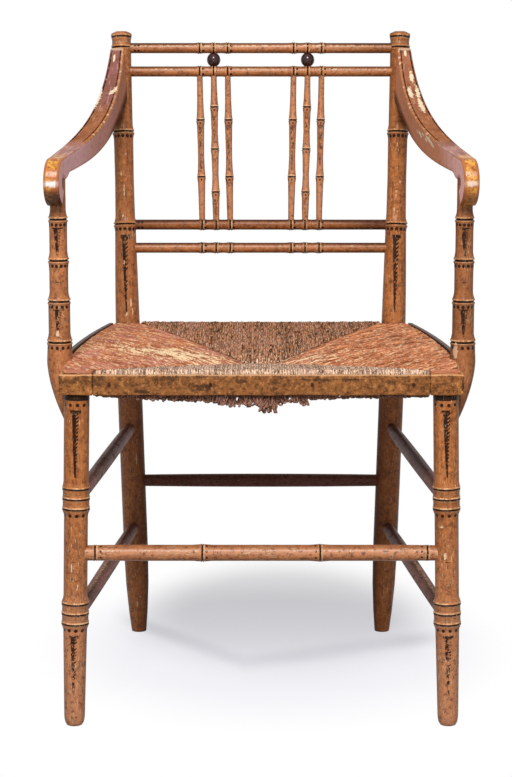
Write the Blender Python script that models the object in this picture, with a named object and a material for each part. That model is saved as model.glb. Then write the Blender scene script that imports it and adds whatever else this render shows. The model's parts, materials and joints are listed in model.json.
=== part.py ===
"""Bamboo-turned open armchair with a rush seat, modelled as its separate joined pieces.

Metres, +Z up, the chair facing -Y. The origin is on the floor, under the middle of the chair.
Turned pieces end in round tenons that seat in bored mortises, the arms are coped to the back
posts, and the arm supports are notched round the corner blocks and scarfed to the front legs.
"""
import math

import bpy
from mathutils import Vector
from mathutils.geometry import interpolate_bezier

# Heights from the floor
OVERALL_HEIGHT = 0.860
SEAT_HEIGHT = 0.446
BLOCK_HEIGHT = 0.026
FRONT_STRETCHER_HEIGHT = 0.220
BACK_STRETCHER_HEIGHT = 0.2275
UPPER_SIDE_FRONT_HEIGHT = 0.286
UPPER_SIDE_BACK_HEIGHT = 0.307
LOWER_SIDE_FRONT_HEIGHT = 0.137
LOWER_SIDE_BACK_HEIGHT = 0.160
LEG_UPPER_BAND_HEIGHT = 0.2895
LEG_LOWER_BAND_HEIGHT = 0.144

# Heights of the back, down from the post tops and up from the seat
CREST_DROP = 0.0236
SECOND_RAIL_DROP = 0.056
POST_RING_DROP = 0.140
THIRD_RAIL_RISE = 0.146
FOURTH_RAIL_RISE = 0.114

# Clearance between seated pieces, and how round tenons enter their mortises
FIT_GAP = 0.0003
TENON_DEPTH = 0.010
TENON_COLLAR = 0.004
MORTISE_MOUTH = 0.012

# Back posts: half spacing and depth of the axis, the bend at the seat, and the turned radii
POST_FOOT_HALF = 0.1766
POST_TOP_HALF = 0.1956
POST_FOOT_Y = 0.205
POST_BEND_Y = 0.1595
POST_TOP_Y = 0.232
BEND_BELOW_SEAT = 0.016
BEND_LENGTH = 0.240
POST_FOOT_RADIUS = 0.0105
POST_SHANK_RADIUS = 0.0173
POST_BACK_RADIUS = 0.0132
POST_FOOT_TAPER = 0.120
POST_FOOT_STATIONS = (0.25, 0.6, 1.0)
POST_RING_SWELL = 0.0020
FINIAL_HEIGHT = 0.018
FINIAL_WAIST_RADIUS = 0.0126

# Front legs: how far the foot stands out from the block above, turned radii, and the raised bands
LEG_SPLAY = 0.0087
LEG_RAKE = 0.0010
LEG_FOOT_RADIUS = 0.0102
LEG_LOW_RADIUS = 0.0130
LEG_MID_RADIUS = 0.0148
LEG_TOP_RADIUS = 0.0156
LEG_BAND_RADIUS = 0.0172
LEG_BAND_LINE_STEP = 0.0127
LEG_TENON_RADIUS = 0.0090
LEG_TENON_LENGTH = 0.020

# Rings cut by the turner
RING_LIP = 0.0030
RING_FLARE = 0.0095
GROOVE_DEPTH = 0.0012

# Corner blocks, edge strips and seat rails
BLOCK_WIDTH = 0.041
BLOCK_DEPTH = 0.040
BLOCK_OUTER_HALF = 0.2458
BLOCK_FRONT_Y = -0.247
BLOCK_BEVEL = 0.0012
STRIP_THICKNESS = 0.006
SIDE_STRIP_RISE = 0.011
SIDE_STRIP_SUPPORT_GAP = 0.0185
SIDE_STRIP_END_Y = 0.157
SEAT_RAIL_RADIUS = 0.0095
SEAT_RAIL_TENON_RADIUS = 0.0060
SEAT_RAIL_DROP = 0.012
FRONT_RAIL_SETBACK = 0.023
SIDE_RAIL_INSET = 0.0038

# Rush: its plan, and where its four sections meet
RUSH_CORNER_INSET = 0.0033
RUSH_BACK_HALF = 0.2005
RUSH_SIDE_BOW = 0.011
RUSH_BACK_WRAP = 0.016
RUSH_SHOULDER = 0.009
RUSH_MEETING_Y = -0.078
RUSH_MEETING_HALF = 0.0165
RUSH_CLEARANCE = 0.001

# Rush heights: over the seat line at the rails, at both ends of the seams and along the strands,
# then below it at the hem, where the strands lie slack under the front rail, and at the middle
RUSH_FRONT_RISE = 0.0045
RUSH_SIDE_RISE = 0.0115
RUSH_BACK_RISE = 0.0105
RUSH_BLOCK_RISE = 0.0055
RUSH_POST_RISE = 0.0130
RUSH_MIDDLE_DROP = 0.011
RUSH_RIM_SHARE = 0.5
RUSH_FRONT_SEAM_CURVE = 1.1
RUSH_BACK_SEAM_CURVE = 1.4
RUSH_STRAND_CURVE = 1.3
RUSH_HEM_DROP = 0.028
RUSH_FRONT_SLACK = 0.007
RUSH_SLACK_HALF = 0.150
RUSH_BELLY = 0.026

# Arm supports: axis, ring radii from the top down, and the tail scarfed to the leg
SUPPORT_PROUD = 0.0027
SUPPORT_SETBACK = 0.015
SUPPORT_TOP_RADIUS = 0.0097
SUPPORT_RING_RADII = (0.0119, 0.0131, 0.0143, 0.0160)
SUPPORT_WAIST_RADII = (0.0109, 0.0116, 0.0134)
SUPPORT_LOW_RING_RISE = 0.033
SUPPORT_RING_STEP = 0.0503
SUPPORT_TENON_RADIUS = 0.0060
SUPPORT_TENON_LENGTH = 0.014
TAIL_DROP = 0.061
TAIL_LENGTH = 0.070
TAIL_SHIFT_IN = 0.0113
TAIL_SHIFT_FORWARD = 0.0215
TAIL_TIP_RADIUS = 0.0048
TAIL_CURVE = 1.4
TAIL_TAPER = 1.9
TAIL_STATIONS = (0, 0.1, 0.25, 0.45, 0.65, 0.85, 1)

# Arms: sawn boards that sweep down from the posts to a rolled end
ARM_BACK_HALF = 0.2001
ARM_OVER_SUPPORT = 0.0045
ARM_BACK_THICKNESS = 0.0174
ARM_FRONT_THICKNESS = 0.0190
ARM_SWELL = 0.0075
ARM_SWELL_SKEW = 0.75
ARM_FLARE = 0.0055
ARM_FLARE_SHARE = 0.28
ARM_END_HEIGHT = 0.0726
ARM_END_INSET = 0.006
ARM_UNDERSIDE_RISE = 0.238
ARM_DEPTH_AT_ROLL = 0.021
ROLL_RADIUS = 0.0295
ROLL_TURN = math.radians(160)
ROLL_AHEAD = 0.011
ARM_BEVEL = 0.0016
ARM_END_TUCK = 0.3

# Pull of the arm's edge curves, as shares of its run and of its fall: top at the back and at
# the roll, then underside at the roll and at the back
TOP_PULL_BACK = (0.185, 0.67)
TOP_PULL_ROLL = (0.47, 0.16)
UNDER_PULL_ROLL = (0.40, 0.11)
UNDER_PULL_BACK = (0.33, 0.73)

# Back rails and spindles
BACK_RAIL_RADIUS = 0.0074
BACK_RAIL_RING_RADIUS = 0.0081
BACK_RAIL_TENON_RADIUS = 0.0058
RAIL_RING_LIP = 0.0016
SPINDLE_TOP_HALF = 0.0659
SPINDLE_FOOT_HALF = 0.0622
SPINDLE_SPACING = 0.0196
SPINDLE_RADIUS = 0.0049
SPINDLE_RING_RADIUS = 0.0060
SPINDLE_TENON_RADIUS = 0.0035
SPINDLE_TENON_DEPTH = 0.005
OUTER_SPINDLE_RINGS = (0.32, 0.69)
CENTRE_SPINDLE_RINGS = (0.235, 0.51, 0.79)
BEAD_RADIUS = 0.0092
BEAD_TENON_RADIUS = 0.0024
BEAD_TENON_DEPTH = 0.004

# Stretchers
FRONT_STRETCHER_RADIUS = 0.0102
FRONT_STRETCHER_RING_RADIUS = 0.0115
FRONT_STRETCHER_RING_HALF = 0.0727
FRONT_STRETCHER_BODY_HALF = 0.1745
PLAIN_STRETCHER_RADIUS = 0.0094
PLAIN_STRETCHER_SWELL = ((-0.3, 0.93), (-0.12, 1.0), (0.12, 1.0), (0.3, 0.93))
STRETCHER_TENON_RADIUS = 0.0066

# Nails, screws and pegs
NAIL_RADIUS = 0.0012
NAIL_HEAD_RADIUS = 0.0022
FRONT_NAIL_LENGTH = 0.018
SIDE_NAIL_LENGTH = 0.028
FRONT_NAIL_END_INSET = 0.0203
FRONT_NAIL_COUNT = 4
SIDE_NAIL_SPACING = 0.220
SIDE_NAIL_COUNT = 2
SCREW_RADIUS = 0.0019
SCREW_HEAD_RADIUS = 0.0036
ARM_SCREW_LENGTH = 0.040
ARM_SCREW_BELOW_SECOND_RAIL = 0.019
SCARF_SCREW_LENGTH = 0.024
SCARF_SCREW_DROP = 0.044
PEG_RADIUS = 0.0019
PEG_LENGTH = 0.013
PEG_ABOVE_RING = 0.010

# Facets round each kind of piece
POST_SIDES = 12
RAIL_SIDES = 10
SPINDLE_SIDES = 8
PIN_SIDES = 6
ARM_CURVE_POINTS = 15
ROLL_POINTS = 9
RUSH_STEPS_ACROSS = 18
RUSH_STEPS_DEEP = 16
STRIP_STEPS = 5
BEAD_STEPS = 7

# Levels and places that follow from the driving sizes
CREST_Z = OVERALL_HEIGHT - CREST_DROP
SECOND_RAIL_Z = OVERALL_HEIGHT - SECOND_RAIL_DROP
POST_RING_Z = OVERALL_HEIGHT - POST_RING_DROP
THIRD_RAIL_Z = SEAT_HEIGHT + THIRD_RAIL_RISE
FOURTH_RAIL_Z = SEAT_HEIGHT + FOURTH_RAIL_RISE
BEND_Z = SEAT_HEIGHT - BEND_BELOW_SEAT
BLOCK_BOTTOM = SEAT_HEIGHT - BLOCK_HEIGHT
SEAT_RAIL_Z = SEAT_HEIGHT - SEAT_RAIL_DROP
ARM_UNDERSIDE = SEAT_HEIGHT + ARM_UNDERSIDE_RISE
SUPPORT_LOW_RING_Z = SEAT_HEIGHT + SUPPORT_LOW_RING_RISE
TAIL_TOP = SEAT_HEIGHT + TAIL_LENGTH - TAIL_DROP
TAIL_BOTTOM = SEAT_HEIGHT - TAIL_DROP
BLOCK_BACK_Y = BLOCK_FRONT_Y + BLOCK_DEPTH
BLOCK_INNER_HALF = BLOCK_OUTER_HALF - BLOCK_WIDTH
LEG_TOP_HALF = BLOCK_OUTER_HALF - BLOCK_WIDTH / 2
LEG_TOP_Y = BLOCK_FRONT_Y + BLOCK_DEPTH / 2
LEG_FOOT_HALF = LEG_TOP_HALF + LEG_SPLAY
LEG_FOOT_Y = LEG_TOP_Y + LEG_RAKE
SUPPORT_HALF = BLOCK_OUTER_HALF + SUPPORT_PROUD
SUPPORT_Y = BLOCK_BACK_Y + SUPPORT_SETBACK
ARM_FRONT_HALF = SUPPORT_HALF + ARM_OVER_SUPPORT
SIDE_RAIL_FRONT_HALF = LEG_TOP_HALF - SIDE_RAIL_INSET
FRONT_RAIL_Y = BLOCK_FRONT_Y + FRONT_RAIL_SETBACK
RUSH_FRONT_Y = BLOCK_FRONT_Y + STRIP_THICKNESS + FIT_GAP
RUSH_FRONT_HALF = BLOCK_OUTER_HALF - RUSH_CORNER_INSET
FRONT_NAIL_SPACING = 2 * (BLOCK_INNER_HALF - FRONT_NAIL_END_INSET) / (FRONT_NAIL_COUNT - 1)
SIDE_STRIP_START_Y = SUPPORT_Y + SIDE_STRIP_SUPPORT_GAP
SIDE_STRIP_TOP = SEAT_HEIGHT + SIDE_STRIP_RISE
SIDE_STRIP_MIDDLE_Y = (SIDE_STRIP_START_Y + SIDE_STRIP_END_Y) / 2
SIDES = {"left": -1, "right": 1}
UPRIGHT = Vector((0, 0, 1))

for leftover in list(bpy.data.objects):
    bpy.data.objects.remove(leftover)

CHAIR = bpy.data.objects.new("armchair", None)
bpy.context.collection.objects.link(CHAIR)


def finish(name, colour, roughness, metallic=0.0):
    """A Principled material of one colour."""
    material = bpy.data.materials.new(name)
    material.use_nodes = True
    shader = material.node_tree.nodes["Principled BSDF"]
    shader.inputs["Base Color"].default_value = (*colour, 1.0)
    shader.inputs["Roughness"].default_value = roughness
    shader.inputs["Metallic"].default_value = metallic
    return material


OCHRE_PAINT = finish("ochre_paint", (0.36, 0.17, 0.065), 0.38)
BROWN_PAINT = finish("brown_paint", (0.21, 0.085, 0.04), 0.40)
DARK_BEAD = finish("dark_bead_paint", (0.035, 0.012, 0.010), 0.22)
BARE_WOOD = finish("bare_wood", (0.33, 0.20, 0.10), 0.65)
RUSH = finish("rush", (0.40, 0.22, 0.11), 0.75)
IRON = finish("iron", (0.05, 0.04, 0.035), 0.55, 0.8)


def place(name, mesh, origin):
    """Links a mesh as a named piece of the chair, with its origin at a point of its own."""
    obj = bpy.data.objects.new(name, mesh)
    obj.location = origin
    obj.parent = CHAIR
    bpy.context.collection.objects.link(obj)
    return obj


def solid(name, points, faces, material, origin=Vector((0, 0, 0))):
    """A closed mesh from world points, kept round its origin and shaded smooth up to 40 degrees."""
    mesh = bpy.data.meshes.new(name)
    mesh.from_pydata([Vector(point) - origin for point in points], [], faces)
    mesh.materials.append(material)
    mesh.shade_smooth()
    mesh.set_sharp_from_angle(angle=math.radians(40))
    return place(name, mesh, origin)


def cut(target, name, shapes):
    """Takes closed shapes, given as (points, faces), out of a piece with one Boolean."""
    points = []
    faces = []
    for shape_points, shape_faces in shapes:
        start = len(points)
        points += shape_points
        faces += [[start + index for index in face] for face in shape_faces]
    mesh = bpy.data.meshes.new(name)
    mesh.from_pydata(points, [], faces)
    cutter = place(name, mesh, Vector((0, 0, 0)))
    cutter.hide_render = True
    cutter.display_type = "WIRE"
    boolean = target.modifiers.new(name, "BOOLEAN")
    boolean.operation = "DIFFERENCE"
    boolean.object = cutter


def loft(rows, sides):
    """Rings of points (centre, normal, radius) joined into one closed skin with flat ends."""
    points = []
    for centre, normal, radius in rows:
        across = Vector((0, 1, 0)) if abs(normal.x) > 0.9 else Vector((1, 0, 0))
        across = (across - normal * across.dot(normal)).normalized()
        along = normal.cross(across)
        for side in range(sides):
            angle = 2 * math.pi * side / sides
            points.append(centre + radius * (math.cos(angle) * across + math.sin(angle) * along))
    faces = [[side for side in reversed(range(sides))]]
    for row in range(len(rows) - 1):
        for side in range(sides):
            following = (side + 1) % sides
            low = row * sides
            high = low + sides
            faces.append([low + side, low + following, high + following, high + side])
    last = (len(rows) - 1) * sides
    faces.append([last + side for side in range(sides)])
    return points, faces


def straight_rows(start, direction, profile):
    """A turned profile of (distance, radius) carried along a straight axis."""
    return [(start + direction * distance, direction, radius) for distance, radius in profile]


def grown(profile, end_growth):
    """A profile widened by the fit clearance and lengthened at both ends."""
    wider = [(distance, radius + FIT_GAP) for distance, radius in profile]
    mouth = (wider[0][0] - end_growth, wider[0][1])
    wider[-1] = (wider[-1][0] + FIT_GAP, wider[-1][1])
    return [mouth] + wider


def radius_at(profile, distance):
    """Radius of a profile between its stations."""
    for (low, low_radius), (high, high_radius) in zip(profile, profile[1:]):
        if low <= distance <= high:
            share = (distance - low) / max(high - low, 1e-9)
            return low_radius + share * (high_radius - low_radius)
    return profile[-1][1]


def ring(level, radius, lip=RING_LIP):
    """One turned ring: two lips with an incised line between them."""
    return [(level - lip, radius), (level, radius - GROOVE_DEPTH), (level + lip, radius)]


MORTISES = {}


def mortise(host, rows, sides):
    """Notes a bored hole for a host piece; all holes of a host are cut together."""
    MORTISES.setdefault(host, []).append(loft(rows, sides))


def member(name, ends, hosts, insets, tenon_radius, body, sides, material, depth=TENON_DEPTH):
    """A turned stick between two hosts, with a round tenon and its mortise at each end.

    ends are points on the hosts' axes, insets the distances from them to the hosts' surfaces,
    and body lists (distance from the stick's middle, radius) between the tenons.
    """
    direction = (ends[1] - ends[0]).normalized()
    start = ends[0] + direction * (insets[0] - depth)
    length = (ends[1] - ends[0]).length - insets[0] - insets[1] + 2 * depth
    middle = (ends[1] - ends[0]).length / 2 - insets[0] + depth
    collar = depth + TENON_COLLAR
    profile = [(0, tenon_radius), (collar, tenon_radius)]
    profile += [(middle + distance, radius) for distance, radius in body]
    profile += [(length - collar, tenon_radius), (length, tenon_radius)]
    points, faces = loft(straight_rows(start, direction, profile), sides)
    solid(name, points, faces, material, start)
    bore = tenon_radius + FIT_GAP
    mouth = depth + MORTISE_MOUTH
    near = [(-FIT_GAP, bore), (mouth, bore)]
    far = [(length - mouth, bore), (length + FIT_GAP, bore)]
    for host, hole in zip(hosts, (near, far)):
        if host:
            mortise(host, straight_rows(start, direction, hole), sides)


def pin(name, head, direction, profile, hosts, material):
    """A nail, screw or peg from its head point inwards, with its hole in every host."""
    points, faces = loft(straight_rows(head, direction, profile), PIN_SIDES)
    solid(name, points, faces, material, head)
    for host in hosts:
        mortise(host, straight_rows(head, direction, grown(profile, MORTISE_MOUTH)), PIN_SIDES)


def box(low, high):
    """Points and outward faces of a box between two corners."""
    points = [(x, y, z) for x in (low[0], high[0]) for y in (low[1], high[1]) for z in (low[2], high[2])]
    faces = [[0, 1, 3, 2], [4, 6, 7, 5], [0, 4, 5, 1], [2, 3, 7, 6], [0, 2, 6, 4], [1, 5, 7, 3]]
    return points, faces


def bevel(obj, width):
    """Softens a sawn piece's long edges."""
    modifier = obj.modifiers.new("softened_edges", "BEVEL")
    modifier.width = width
    modifier.segments = 1
    modifier.limit_method = "ANGLE"


# Back posts
def post_centre(side, z):
    """Axis of a back post: straight splay, and two raked runs joined by a parabola at the seat."""
    lower_rake = (POST_BEND_Y - POST_FOOT_Y) / BEND_Z
    upper_rake = (POST_TOP_Y - POST_BEND_Y) / (OVERALL_HEIGHT - BEND_Z)
    into = min(max(z - BEND_Z + BEND_LENGTH / 2, 0), BEND_LENGTH)
    beyond = max(z - BEND_Z - BEND_LENGTH / 2, 0)
    turned_back = (upper_rake - lower_rake) * (into * into / (2 * BEND_LENGTH) + beyond)
    splay = POST_FOOT_HALF + (POST_TOP_HALF - POST_FOOT_HALF) * z / OVERALL_HEIGHT
    return Vector((side * splay, POST_FOOT_Y + lower_rake * z + turned_back, z))


def post_profile():
    """Turned radii of a back post from the foot to the domed top."""
    ring_radius = POST_BACK_RADIUS + POST_RING_SWELL
    low_ring_radius = ring_radius + 0.4 * POST_RING_SWELL
    taper = POST_FOOT_TAPER
    rise = POST_SHANK_RADIUS - POST_FOOT_RADIUS
    finial_base = OVERALL_HEIGHT - FINIAL_HEIGHT
    rim = FINIAL_HEIGHT / 3
    profile = [(0, POST_FOOT_RADIUS)]
    for station in POST_FOOT_STATIONS:
        profile += [(taper * station, POST_FOOT_RADIUS + rise * (1 - (1 - station) ** 2))]
    profile += [(BEND_Z - BEND_LENGTH / 2, POST_SHANK_RADIUS), (BEND_Z, POST_SHANK_RADIUS)]
    profile += [(BEND_Z + BEND_LENGTH / 3, 0.7 * POST_SHANK_RADIUS + 0.3 * POST_BACK_RADIUS)]
    profile += [(THIRD_RAIL_Z - RING_FLARE, POST_BACK_RADIUS + 0.7 * POST_RING_SWELL)]
    profile += ring(THIRD_RAIL_Z, low_ring_radius)
    profile += [(THIRD_RAIL_Z + RING_FLARE, POST_BACK_RADIUS + 0.3 * POST_RING_SWELL)]
    profile += [((THIRD_RAIL_Z + POST_RING_Z) / 2, POST_BACK_RADIUS)]
    profile += [(POST_RING_Z - RING_FLARE, POST_BACK_RADIUS + 0.2 * POST_RING_SWELL)]
    profile += ring(POST_RING_Z, ring_radius)
    profile += [(POST_RING_Z + RING_FLARE, POST_BACK_RADIUS)]
    profile += [(CREST_Z - RING_FLARE, POST_BACK_RADIUS)]
    profile += ring(CREST_Z, POST_BACK_RADIUS + 0.6 * POST_RING_SWELL)
    profile += [(finial_base + rim / 2, FINIAL_WAIST_RADIUS)]
    profile += [(OVERALL_HEIGHT - rim, POST_BACK_RADIUS + 0.6 * POST_RING_SWELL)]
    profile += [(OVERALL_HEIGHT - rim / 3, POST_BACK_RADIUS - 0.5 * POST_RING_SWELL)]
    profile += [(OVERALL_HEIGHT, POST_BACK_RADIUS / 3)]
    return profile


POST_PROFILE = post_profile()


def post_rows(side, profile):
    """The profile carried up the bent axis, square to it except at the level foot and top."""
    step = 0.001
    rows = []
    for z, radius in profile:
        tangent = post_centre(side, z + step) - post_centre(side, z - step)
        level = z <= 0 or z >= OVERALL_HEIGHT
        normal = UPRIGHT if level else tangent.normalized()
        rows.append((post_centre(side, z), normal, radius))
    return rows


POSTS = {}
for word, side in SIDES.items():
    points, faces = loft(post_rows(side, POST_PROFILE), POST_SIDES)
    POSTS[word] = solid(f"back_post_{word}", points, faces, OCHRE_PAINT, post_centre(side, 0))


# Front legs
def leg_centre(side, z):
    """Axis of a front leg, straight from the foot to the corner block."""
    share = z / BLOCK_BOTTOM
    x = LEG_FOOT_HALF + (LEG_TOP_HALF - LEG_FOOT_HALF) * share
    y = LEG_FOOT_Y + (LEG_TOP_Y - LEG_FOOT_Y) * share
    return Vector((side * x, y, z))


def band(level, below, above):
    """A raised band with three incised lines."""
    lines = [level + LEG_BAND_LINE_STEP * count for count in (-1, 0, 1)]
    edge = 0.6 * LEG_BAND_LINE_STEP
    shoulder = 0.4 * LEG_BAND_LINE_STEP
    rows = [(lines[0] - edge, below), (lines[0] - shoulder, LEG_BAND_RADIUS)]
    for line in lines:
        rows += ring(line, LEG_BAND_RADIUS, RING_LIP / 2)
    rows += [(lines[2] + shoulder, LEG_BAND_RADIUS), (lines[2] + edge, above)]
    return rows


def leg_profile():
    """Turned radii of a front leg from the rounded foot to its tenon in the corner block."""
    shoulder = BLOCK_BOTTOM - FIT_GAP
    rounding = LEG_LOW_RADIUS - LEG_FOOT_RADIUS
    profile = [(0, LEG_FOOT_RADIUS), (rounding, LEG_FOOT_RADIUS + 0.6 * rounding)]
    profile += [(4 * rounding, LEG_LOW_RADIUS)]
    profile += band(LEG_LOWER_BAND_HEIGHT, LEG_MID_RADIUS, LEG_MID_RADIUS)
    profile += band(LEG_UPPER_BAND_HEIGHT, LEG_MID_RADIUS, LEG_TOP_RADIUS)
    profile += [(shoulder, LEG_TOP_RADIUS), (shoulder, LEG_TENON_RADIUS)]
    profile += [(shoulder + LEG_TENON_LENGTH, LEG_TENON_RADIUS)]
    return profile


LEG_PROFILE = leg_profile()
for word, side in SIDES.items():
    rows = [(leg_centre(side, z), UPRIGHT, radius) for z, radius in LEG_PROFILE]
    points, faces = loft(rows, POST_SIDES)
    solid(f"front_leg_{word}", points, faces, OCHRE_PAINT, leg_centre(side, 0))
    bore = LEG_TENON_RADIUS + FIT_GAP
    levels = (BLOCK_BOTTOM - MORTISE_MOUTH, BLOCK_BOTTOM + LEG_TENON_LENGTH)
    mortise(f"corner_block_{word}", [(leg_centre(side, z), UPRIGHT, bore) for z in levels], POST_SIDES)


# Seat frame: corner blocks and four rails
for word, side in SIDES.items():
    inner, outer = sorted((side * BLOCK_INNER_HALF, side * BLOCK_OUTER_HALF))
    points, faces = box((inner, BLOCK_FRONT_Y, BLOCK_BOTTOM), (outer, BLOCK_BACK_Y, SEAT_HEIGHT))
    bevel(solid(f"corner_block_{word}", points, faces, OCHRE_PAINT), BLOCK_BEVEL)


def seat_rail(name, ends, hosts, insets):
    """A plain round seat rail whose ends are shaved down to tenons."""
    length = (ends[1] - ends[0]).length
    first = insets[0] + 2 * TENON_COLLAR - length / 2
    last = length / 2 - insets[1] - 2 * TENON_COLLAR
    body = [(first, SEAT_RAIL_RADIUS), (last, SEAT_RAIL_RADIUS)]
    member(name, ends, hosts, insets, SEAT_RAIL_TENON_RADIUS, body, RAIL_SIDES, BARE_WOOD)


post_seat_radius = radius_at(POST_PROFILE, SEAT_RAIL_Z)
seat_rail(
    "front_seat_rail",
    [Vector((side * BLOCK_INNER_HALF, FRONT_RAIL_Y, SEAT_RAIL_Z)) for side in (-1, 1)],
    ("corner_block_left", "corner_block_right"),
    (0, 0),
)
seat_rail(
    "back_seat_rail",
    [post_centre(side, SEAT_RAIL_Z) for side in (-1, 1)],
    ("back_post_left", "back_post_right"),
    (post_seat_radius, post_seat_radius),
)
SIDE_RAIL_ENDS = {}
for word, side in SIDES.items():
    front = Vector((side * SIDE_RAIL_FRONT_HALF, BLOCK_BACK_Y, SEAT_RAIL_Z))
    SIDE_RAIL_ENDS[word] = (front, post_centre(side, SEAT_RAIL_Z))
    hosts = (f"corner_block_{word}", f"back_post_{word}")
    seat_rail(f"{word}_seat_rail", SIDE_RAIL_ENDS[word], hosts, (0, post_seat_radius))


# Rush seat: one crowned pillow in four sections, wound over the rails
def rush_back_y():
    """Depth of the rush's back edge, wrapped over the back rail."""
    return post_centre(1, SEAT_RAIL_Z).y + RUSH_BACK_WRAP


def rush_half(y):
    """Half width of the rush at a depth: the sides taper to the back and bow out a little."""
    share = (y - RUSH_FRONT_Y) / (rush_back_y() - RUSH_FRONT_Y)
    bow = RUSH_SIDE_BOW * 4 * share * (1 - share)
    return RUSH_FRONT_HALF + (RUSH_BACK_HALF - RUSH_FRONT_HALF) * share + bow


def seam_corner(front):
    """Corner where a seam starts, at a block or at a post, as (half width, depth)."""
    if front:
        return BLOCK_INNER_HALF, RUSH_FRONT_Y
    post = post_centre(1, SEAT_RAIL_Z)
    clear = POST_SHANK_RADIUS + RUSH_CLEARANCE
    return post.x - clear, post.y - clear


def seam_rise(share, front):
    """Height of a seam over the seat line, from its corner at share 0 to the middle at 1."""
    corner = RUSH_BLOCK_RISE if front else RUSH_POST_RISE
    curve = RUSH_FRONT_SEAM_CURVE if front else RUSH_BACK_SEAM_CURVE
    return corner - (corner + RUSH_MIDDLE_DROP) * share ** curve


def strand_place(x, y):
    """Where a point lies on its strand: height of the rail, share along the seam, share to the seam.

    Strands of the side sections run across the seat and the others from front to back, each from
    its rail to the seam that it meets.
    """
    front = y < RUSH_MEETING_Y
    corner_x, corner_y = seam_corner(front)
    share = min(max((y - corner_y) / (RUSH_MEETING_Y - corner_y), 0), 1)
    seam_x = corner_x + (RUSH_MEETING_HALF - corner_x) * share
    if x >= seam_x:
        half = rush_half(y)
        over_block = min((y - RUSH_FRONT_Y) / BLOCK_DEPTH, 1)
        rail_rise = RUSH_FRONT_RISE + (RUSH_SIDE_RISE - RUSH_FRONT_RISE) * over_block
        return rail_rise, share, (half - x) / (half - seam_x)
    share = min((corner_x - x) / (corner_x - RUSH_MEETING_HALF), 1)
    seam_y = corner_y + (RUSH_MEETING_Y - corner_y) * share
    if front:
        return RUSH_FRONT_RISE, share, (y - RUSH_FRONT_Y) / max(seam_y - RUSH_FRONT_Y, FIT_GAP)
    return RUSH_BACK_RISE, share, (rush_back_y() - y) / (rush_back_y() - seam_y)


def rush_point(across, deep, top):
    """A point of the pillow: across and deep run from -1 to 1, eased towards the edges."""
    back_y = rush_back_y()
    y = RUSH_FRONT_Y + (back_y - RUSH_FRONT_Y) * (math.sin(deep * math.pi / 2) + 1) / 2
    half = rush_half(y)
    x = half * math.sin(across * math.pi / 2)
    rail_rise, share, inward = strand_place(abs(x), y)
    inward = min(max(inward, 0), 1)
    edge = min(y - RUSH_FRONT_Y, back_y - y, half - abs(x))
    over_rail = math.sqrt(max(1 - (1 - min(edge / RUSH_SHOULDER, 1)) ** 2, 0))
    if top:
        seam = seam_rise(share, y < RUSH_MEETING_Y)
        rise = rail_rise + (seam - rail_rise) * inward ** RUSH_STRAND_CURVE
        shoulder = RUSH_RIM_SHARE + (1 - RUSH_RIM_SHARE) * over_rail
        return Vector((x, y, SEAT_HEIGHT + rise * (shoulder if rise > 0 else 1)))
    dip = share * inward
    dip = dip * dip * (3 - 2 * dip)
    slack = RUSH_FRONT_SLACK * max(1 - (x / RUSH_SLACK_HALF) ** 2, 0) * (back_y - y) / (back_y - RUSH_FRONT_Y)
    return Vector((x, y, SEAT_HEIGHT - RUSH_HEM_DROP - slack * over_rail - RUSH_BELLY * dip))


def rush_solid():
    """Two grids of points, top and underside, joined round the edge."""
    across = [2 * step / RUSH_STEPS_ACROSS - 1 for step in range(RUSH_STEPS_ACROSS + 1)]
    deep = [2 * step / RUSH_STEPS_DEEP - 1 for step in range(RUSH_STEPS_DEEP + 1)]
    width = len(across)
    count = width * len(deep)
    points = [rush_point(u, v, top) for top in (True, False) for v in deep for u in across]
    faces = []
    for row in range(len(deep) - 1):
        for column in range(width - 1):
            corner = row * width + column
            opposite = corner + width + 1
            for face in ([corner, corner + 1, opposite], [corner, opposite, corner + width]):
                faces.append(face)
                faces.append([count + index for index in reversed(face)])
    front = list(range(width))
    back = [count - width + column for column in range(width)]
    left = [row * width for row in range(len(deep))]
    right = [row * width + width - 1 for row in range(len(deep))]
    for edge in (front, right, list(reversed(back)), list(reversed(left))):
        for first, second in zip(edge, edge[1:]):
            faces.append([first, count + first, count + second, second])
    return points, faces


points, faces = rush_solid()
rush_seat = solid("rush_seat", points, faces, RUSH)


# Edge strips nailed over the front and sides of the rush
points, faces = box(
    (-BLOCK_INNER_HALF + FIT_GAP, BLOCK_FRONT_Y, BLOCK_BOTTOM),
    (BLOCK_INNER_HALF - FIT_GAP, BLOCK_FRONT_Y + STRIP_THICKNESS, SEAT_HEIGHT),
)
bevel(solid("front_edge_strip", points, faces, OCHRE_PAINT), BLOCK_BEVEL)


def side_strip_face(side, y, out):
    """A point of a side strip's inner or outer face at a depth."""
    return (side * (rush_half(y) + FIT_GAP + out), y)


for word, side in SIDES.items():
    run = SIDE_STRIP_END_Y - SIDE_STRIP_START_Y
    stations = [SIDE_STRIP_START_Y + run * step / STRIP_STEPS for step in range(STRIP_STEPS + 1)]
    plan = [side_strip_face(side, y, STRIP_THICKNESS) for y in stations]
    plan += [side_strip_face(side, y, 0) for y in reversed(stations)]
    if side < 0:
        plan.reverse()
    count = len(plan)
    points = [(x, y, z) for z in (BLOCK_BOTTOM, SIDE_STRIP_TOP) for x, y in plan]
    faces = [list(reversed(range(count))), list(range(count, 2 * count))]
    faces += [[edge, (edge + 1) % count, (edge + 1) % count + count, edge + count] for edge in range(count)]
    bevel(solid(f"{word}_edge_strip", points, faces, OCHRE_PAINT), BLOCK_BEVEL)


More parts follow.
